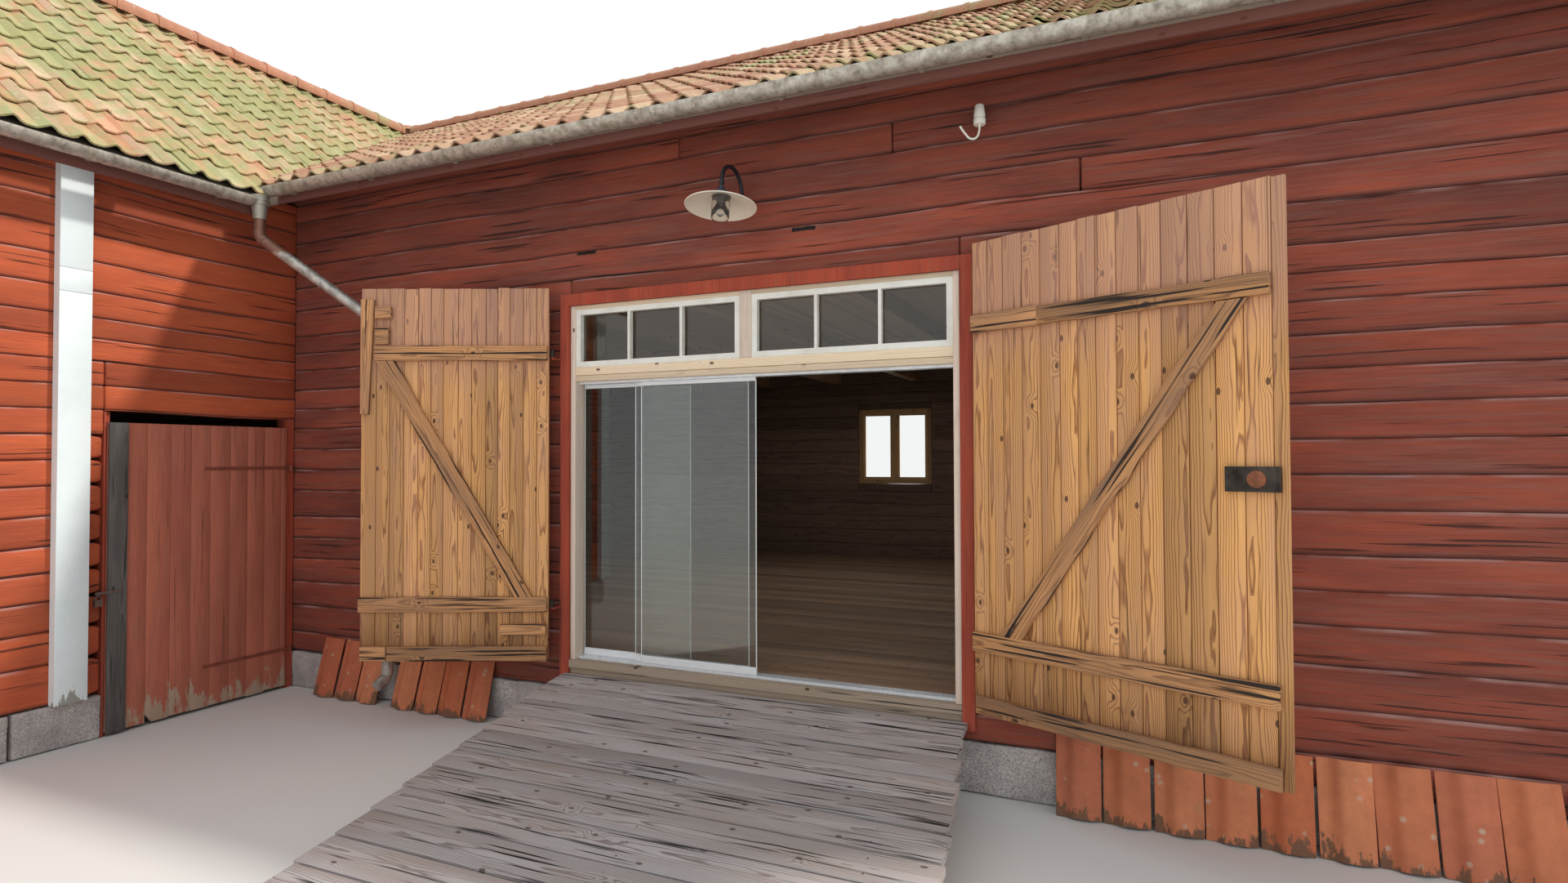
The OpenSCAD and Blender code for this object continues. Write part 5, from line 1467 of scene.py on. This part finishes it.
# %% White boxes
boxes_low, boxes_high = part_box("corner_boxes")
box_w, box_t, box_joints = 0.205, 0.022, (3.33, 3.503)
cap_low = boxes_high.z - box_t
mint_white = coat("white_board_paint", (232, 242, 244), (218, 230, 230))
flake_foot(mint_white, (160, 160, 152), 0.31, 0.16)
box_boards = []
box_back, box_front = boxes_low.x, boxes_high.x
for start in (boxes_low.y, boxes_high.y - box_w):
    levels = [boxes_low.z, *box_joints, cap_low]
    for low, high in zip(levels, levels[1:]):
        front = board(high - low - 0.003, box_t, box_w, 0.6, 0.002)
        box_boards.append(placed(front, along_y(box_front) @ shift(start + box_w, 0, low) @ upright))
    for y in (start, start + box_w - box_t):
        box_boards.append(slab((box_back, y, boxes_low.z), (box_front - box_t, y + box_t, cap_low), 0.002))
    box_boards.append(slab((box_back, start, cap_low), (box_front, start + box_w, boxes_high.z), 0.002))
hand_over("white_box_boards", box_boards, mint_white, "building", "white_paint", "corner_boxes")

# %% [markdown]
# ## Stone plinth
# The walls stand on a single row of split granite blocks. Each block is a cuboid with worn
# arrises, and one soft displacement gives all of them their split faces.

# %% Plinth blocks
plinth_low, plinth_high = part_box("plinth")
stone_t, stone_set, plinth_out = 0.21, 0.002, 0.01
stone_joint, last_stone = 0.006, 0.4


def stone_row(start, end, matrix):
    """Blocks along X, with their split faces at low Y."""
    blocks = []
    while end - start > 0.01:
        long = chance.uniform(0.5, 1.15)
        if end - start - long < last_stone:
            long = end - start
        size = (long - stone_joint, stone_t, sill_low - 0.002)
        block = cuboid(size, (start + stone_joint / 2, stone_set, 0))
        for axis, cuts in ((0, int(long / 0.09)), (1, 1), (2, 4)):
            ring_cuts(block, axis, cuts)
        soften(block, 0.014)
        blocks.append(placed(block, matrix))
        start += long
    return blocks


door_edge = door_low.y - 0.02
inner_corner = wing_high.x
back_end = plinth_high.y - plinth_out - stone_t
rows = (stone_row(inner_corner - log_t, plinth_high.x - plinth_out, shift(0, -plinth_out, 0))
        + stone_row(stone_t, back_end, along_y(plinth_high.x))
        + stone_row(-plinth_high.x - plinth_out, -plinth_low.x,
                    shift(0, plinth_high.y, 0) @ turn("Z", math.pi))
        + stone_row(-back_end, -(plinth_low.y + stone_t), along_y(plinth_low.x, -1))
        + stone_row(plinth_low.x, inner_corner, shift(0, plinth_low.y, 0))
        + stone_row(plinth_low.y + stone_t, door_edge, along_y(inner_corner + plinth_out)))
plinth_stones = join_as("plinth_stones", rows)
displace(plinth_stones, cloud_texture("split_stone", 0.22, 3), 0.03, 0.75)
keep_within(plinth_stones, 2, high=sill_low)
cut_away(plinth_stones, (0, 0, hair), (0, 0, -1))
hand_over("plinth_stones", [plinth_stones], stone, "building", "stone", "plinth", degrees=35)
print("plinth stones", len(rows))

# %% [markdown]
# ## Pantiles stood on end
# Spare tiles lean on the sill on both sides of the ramp and keep the splash off the logs.
# They show their waves upright. One tile is bent from a grid and thickened, and its
# copies are set down with small turns.

# %% Skirt tiles
skirt_low, skirt_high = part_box("tile_skirt")
skirt_w, skirt_gap, skirt_t, skirt_foot = 0.25, 0.012, 0.014, 0.13
skirt_lean = math.atan(skirt_foot / skirt_high.z)
skirt_l = skirt_high.z / math.cos(skirt_lean)
skirt_groups = ((skirt_low.x, 3), (-3.28, 4), (2.08, 10))


def skirt_wave(x):
    """Depth of the tile's face at a share of its width: flat, one deep roll, and a lip."""
    falls, climbs = (np.clip((x - a) / (b - a), 0, 1) for a, b in ((0.18, 0.44), (0.7, 1.0)))
    return -0.042 * (3 * falls ** 2 - 2 * falls ** 3) + 0.034 * (3 * climbs ** 2 - 2 * climbs ** 3)


select_only()
bpy.ops.mesh.primitive_grid_add(x_subdivisions=16, y_subdivisions=4, size=1, location=(0.5, 0.5, 0))
first_tile = bpy.context.object
bpy.ops.object.transform_apply(location=True, rotation=False, scale=False)
first_tile.data.transform(turn("X", math.pi / 2))
spots = points_of(first_tile)
spots[:, 1] = skirt_wave(spots[:, 0])
spots[:, 0] *= skirt_w
spots[:, 2] *= skirt_l - 0.004
keep_points(first_tile, spots)
apply_tool(first_tile, "SOLIDIFY", thickness=skirt_t, offset=-1)
soften(first_tile, 0.003)

skirt_starts = [first + i * (skirt_w + skirt_gap) for first, count in skirt_groups for i in range(count)]
skirt_tiles = []
for start in skirt_starts:
    lean = turn("Y", math.radians(chance.uniform(-1.2, 1.2)))
    stand = shift(start + chance.uniform(-0.004, 0.004), -skirt_foot, 0.004)
    skirt_tiles.append(placed(another(first_tile), stand @ turn("X", -skirt_lean) @ lean))
    write_tone(skirt_tiles[-1])
bpy.data.objects.remove(first_tile)
skirt = join_as("skirt_tiles", skirt_tiles)
keep_within(skirt, 2, low=hair)
skirt_clay = clay("skirt_clay", [(206, 116, 76), (222, 140, 98), (196, 108, 74), (214, 132, 100)], 0.0)
flake_foot(skirt_clay, (124, 88, 66), 0.0, 0.16)
hand_over("skirt_tiles", [skirt], skirt_clay, "building", "clay_tiles", "tile_skirt", degrees=35)

# %% [markdown]
# ## The lamp over the doorway
# An enamelled steel shade hangs from a swan's-neck tube. It is dark outside and white
# inside, with a rolled rim that is white too. Under it a glass jar keeps the weather off
# the bulb. All of it is turned work, so each part is an outline turned round one axis, and
# then the whole lamp is tipped outwards a little.

# %% Lamp
lamp_out, arm_in, neck_z, arc_z, plate_z, arm_r = 0.35, 0.045, 3.90, 3.94, 3.91, 0.014
lamp_tip = shift(0, -lamp_out, neck_z) @ turn("X", math.radians(-7))
enamel_dark = coat("dark_enamel", (70, 74, 90), (52, 54, 66), 0.25)
enamel_white = coat("white_enamel", (244, 236, 218), (232, 222, 202), 0.25)
tube_black = metal("dark_tube", (58, 58, 66), (40, 40, 46), 0.4, 0.2, 0.5)
socket_grey = metal("socket_grey", (120, 118, 116), (96, 94, 92), 0.5, 0.2, 0.3)
jar_glass = clear_glass("jar_glass", (0.98, 0.97, 0.95))
skin = 0.0015
cap = [(0, 0.012), (0.018, 0.012), (0.021, 0), (0.03, -0.003), (0.046, -0.02), (0.052, -0.03),
       (0.056, -0.03), (0.058, -0.048)]
shade_top = [(0.05, -0.05), (0.085, -0.057), (0.13, -0.072), (0.18, -0.094), (0.215, -0.111),
             (0.234, -0.121)]
rim = [(0.239, -0.1195), (0.243, -0.122), (0.243, -0.1255), (0.239, -0.128), (0.234, -0.1265)]
shade_inside = [(r, z - skin) for r, z in reversed(shade_top)]
shade = turned(cap + shade_top[1:] + shade_inside + [(0, -0.05 - skin)], 64)
lining = turned([(r, z - 1.2 * skin) for r, z in shade_top] + rim
                + [(r, z - 2.4 * skin) for r, z in reversed(shade_top)], 64)
collar = turned([(0, -0.053), (0.064, -0.053), (0.064, -0.064), (0.058, -0.066), (0, -0.066)], 40)
jar_side = [(0.061, -0.062), (0.061, -0.196), (0.057, -0.212), (0.046, -0.226), (0.028, -0.234),
            (0.01, -0.2375)]
jar = turned([(0, -0.062)] + jar_side + [(0, -0.24)], 40)
hollow = turned([(0, -0.0635)] + [(r - 0.0022, z + 0.002) for r, z in jar_side[1:]] + [(0, -0.2365)], 40)
edit_all(hollow, bpy.ops.mesh.flip_normals)
socket = turned([(0, -0.064), (0.03, -0.067), (0.026, -0.085), (0.02, -0.09), (0.02, -0.116), (0.016, -0.12),
                 (0, -0.12)], 24)
bulb_side = [(0.03 * math.sin(a), -0.162 + 0.034 * math.cos(a))
             for a in np.linspace(0.5, math.pi, 9)[1:-1]]
bulb = turned([(0, -0.118), (0.014, -0.12), (0.0145, -0.128)] + bulb_side + [(0, -0.196)], 24)

arc_r = (lamp_out - arm_in) / 2
arc = [(0, -arm_in - arc_r * (1 - math.cos(a)), arc_z + arc_r * math.sin(a))
       for a in np.linspace(0, math.pi, 9)]
neck = rod([(0, -arm_in, plate_z - 0.02)] + arc + [(0, -lamp_out, neck_z)], arm_r, 16)
stub = rod([(0, -0.005, plate_z), (0, -0.025, plate_z), (0, -arm_in, plate_z)], arm_r - 0.002, 16)
plate = turned([(0, 0), (0.04, 0), (0.04, 0.003), (0.036, 0.0055), (0, 0.0055)], 32)
plate.data.transform(shift(0, -0.0005, plate_z) @ turn("X", math.pi / 2))
bead_side = [(0.0135, -0.008), (0.0175, -0.007), (0.0175, 0.007), (0.0135, 0.008)]
beads = [turned(bead_side, 24, (0, y, arc_z)) for y in (-arm_in, -lamp_out)]
for name, pieces, finish, slot, *replaced in (
        ("lamp_shade", [shade], enamel_dark, "iron", "lamp"),
        ("lamp_lining", [lining], enamel_white, "white_paint"),
        ("lamp_collar", [collar], socket_grey, "iron"),
        ("lamp_jar", [jar, hollow], jar_glass, "window_glass"),
        ("lamp_socket", [socket], socket_grey, "iron"),
        ("lamp_bulb", [bulb], jar_glass, "window_glass")):
    hand_over(name, pieces, finish, "building", slot, *replaced, place=lamp_tip, degrees=45)
hand_over("lamp_arm", [neck, stub, plate] + beads, tube_black, "building", "iron", degrees=45)

# %% [markdown]
# ## Insulator
# A porcelain cup on a short bracket once carried a wire. Its hook is one bent rod.

# %% Insulator
cup_at, cup_out = Vector((1.658, -0.06, 4.165)), 0.06
porcelain = coat("porcelain", (238, 236, 226), (214, 208, 192), 0.2)
cup = turned([(0, -0.004), (0.014, -0.004), (0.016, 0), (0.034, 0), (0.038, 0.006), (0.0375, 0.036),
              (0.034, 0.04), (0.034, 0.048), (0.036, 0.054), (0.029, 0.118), (0.024, 0.125),
              (0, 0.125)], 32, cup_at)
bracket = slab(cup_at + Vector((-0.008, 0, 0.035)), cup_at + Vector((0.008, cup_out - 0.002, 0.051)))
hook_run = ((0, 0, 0.004), (-0.003, -0.002, -0.04), (-0.018, -0.006, -0.076), (-0.05, -0.016, -0.084),
            (-0.085, -0.032, -0.05), (-0.112, -0.049, -0.008))
hook = rod([cup_at + Vector(step) for step in hook_run], 0.007, 12)
hand_over("insulator_cup", [cup, bracket, hook], porcelain, "building", "white_paint", "insulator")

# %% [markdown]
# ## Nails
# Each ramp plank is held by two nails on every bearer. The heads are sunk and rusty.

# %% Ramp nails
rusty_nail = metal("rusty_nail", (112, 70, 50), (84, 52, 40), 0.7, 0.3, 0.2)
nails = []
first_nail = turned([(0, 0), (0.0045, 0), (0.0055, 0.0008), (0.003, 0.002), (0, 0.002)], 8)
for number in range(ramp_count):
    for bearer in (-bearer_x, 0, bearer_x):
        for along_plank in (0.25 * plank_w, 0.75 * plank_w):
            x = bearer + ramp_skew * along_plank + chance.uniform(-0.012, 0.012)
            nails.append(placed(another(first_nail), on_ramp(number * plank_step)
                                @ shift(x, -along_plank, -0.0035)))
bpy.data.objects.remove(first_nail)
hand_over("ramp_nails", nails, rusty_nail, "building", "iron")
print("nails", len(nails))

# %% [markdown]
# ## Sizes
# The box round the visual model is printed. The visual model must stay inside the imported
# model's box.

# %% Sizes
low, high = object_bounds()
print("visual box", [round(v, 2) for v in (*low, *high)])
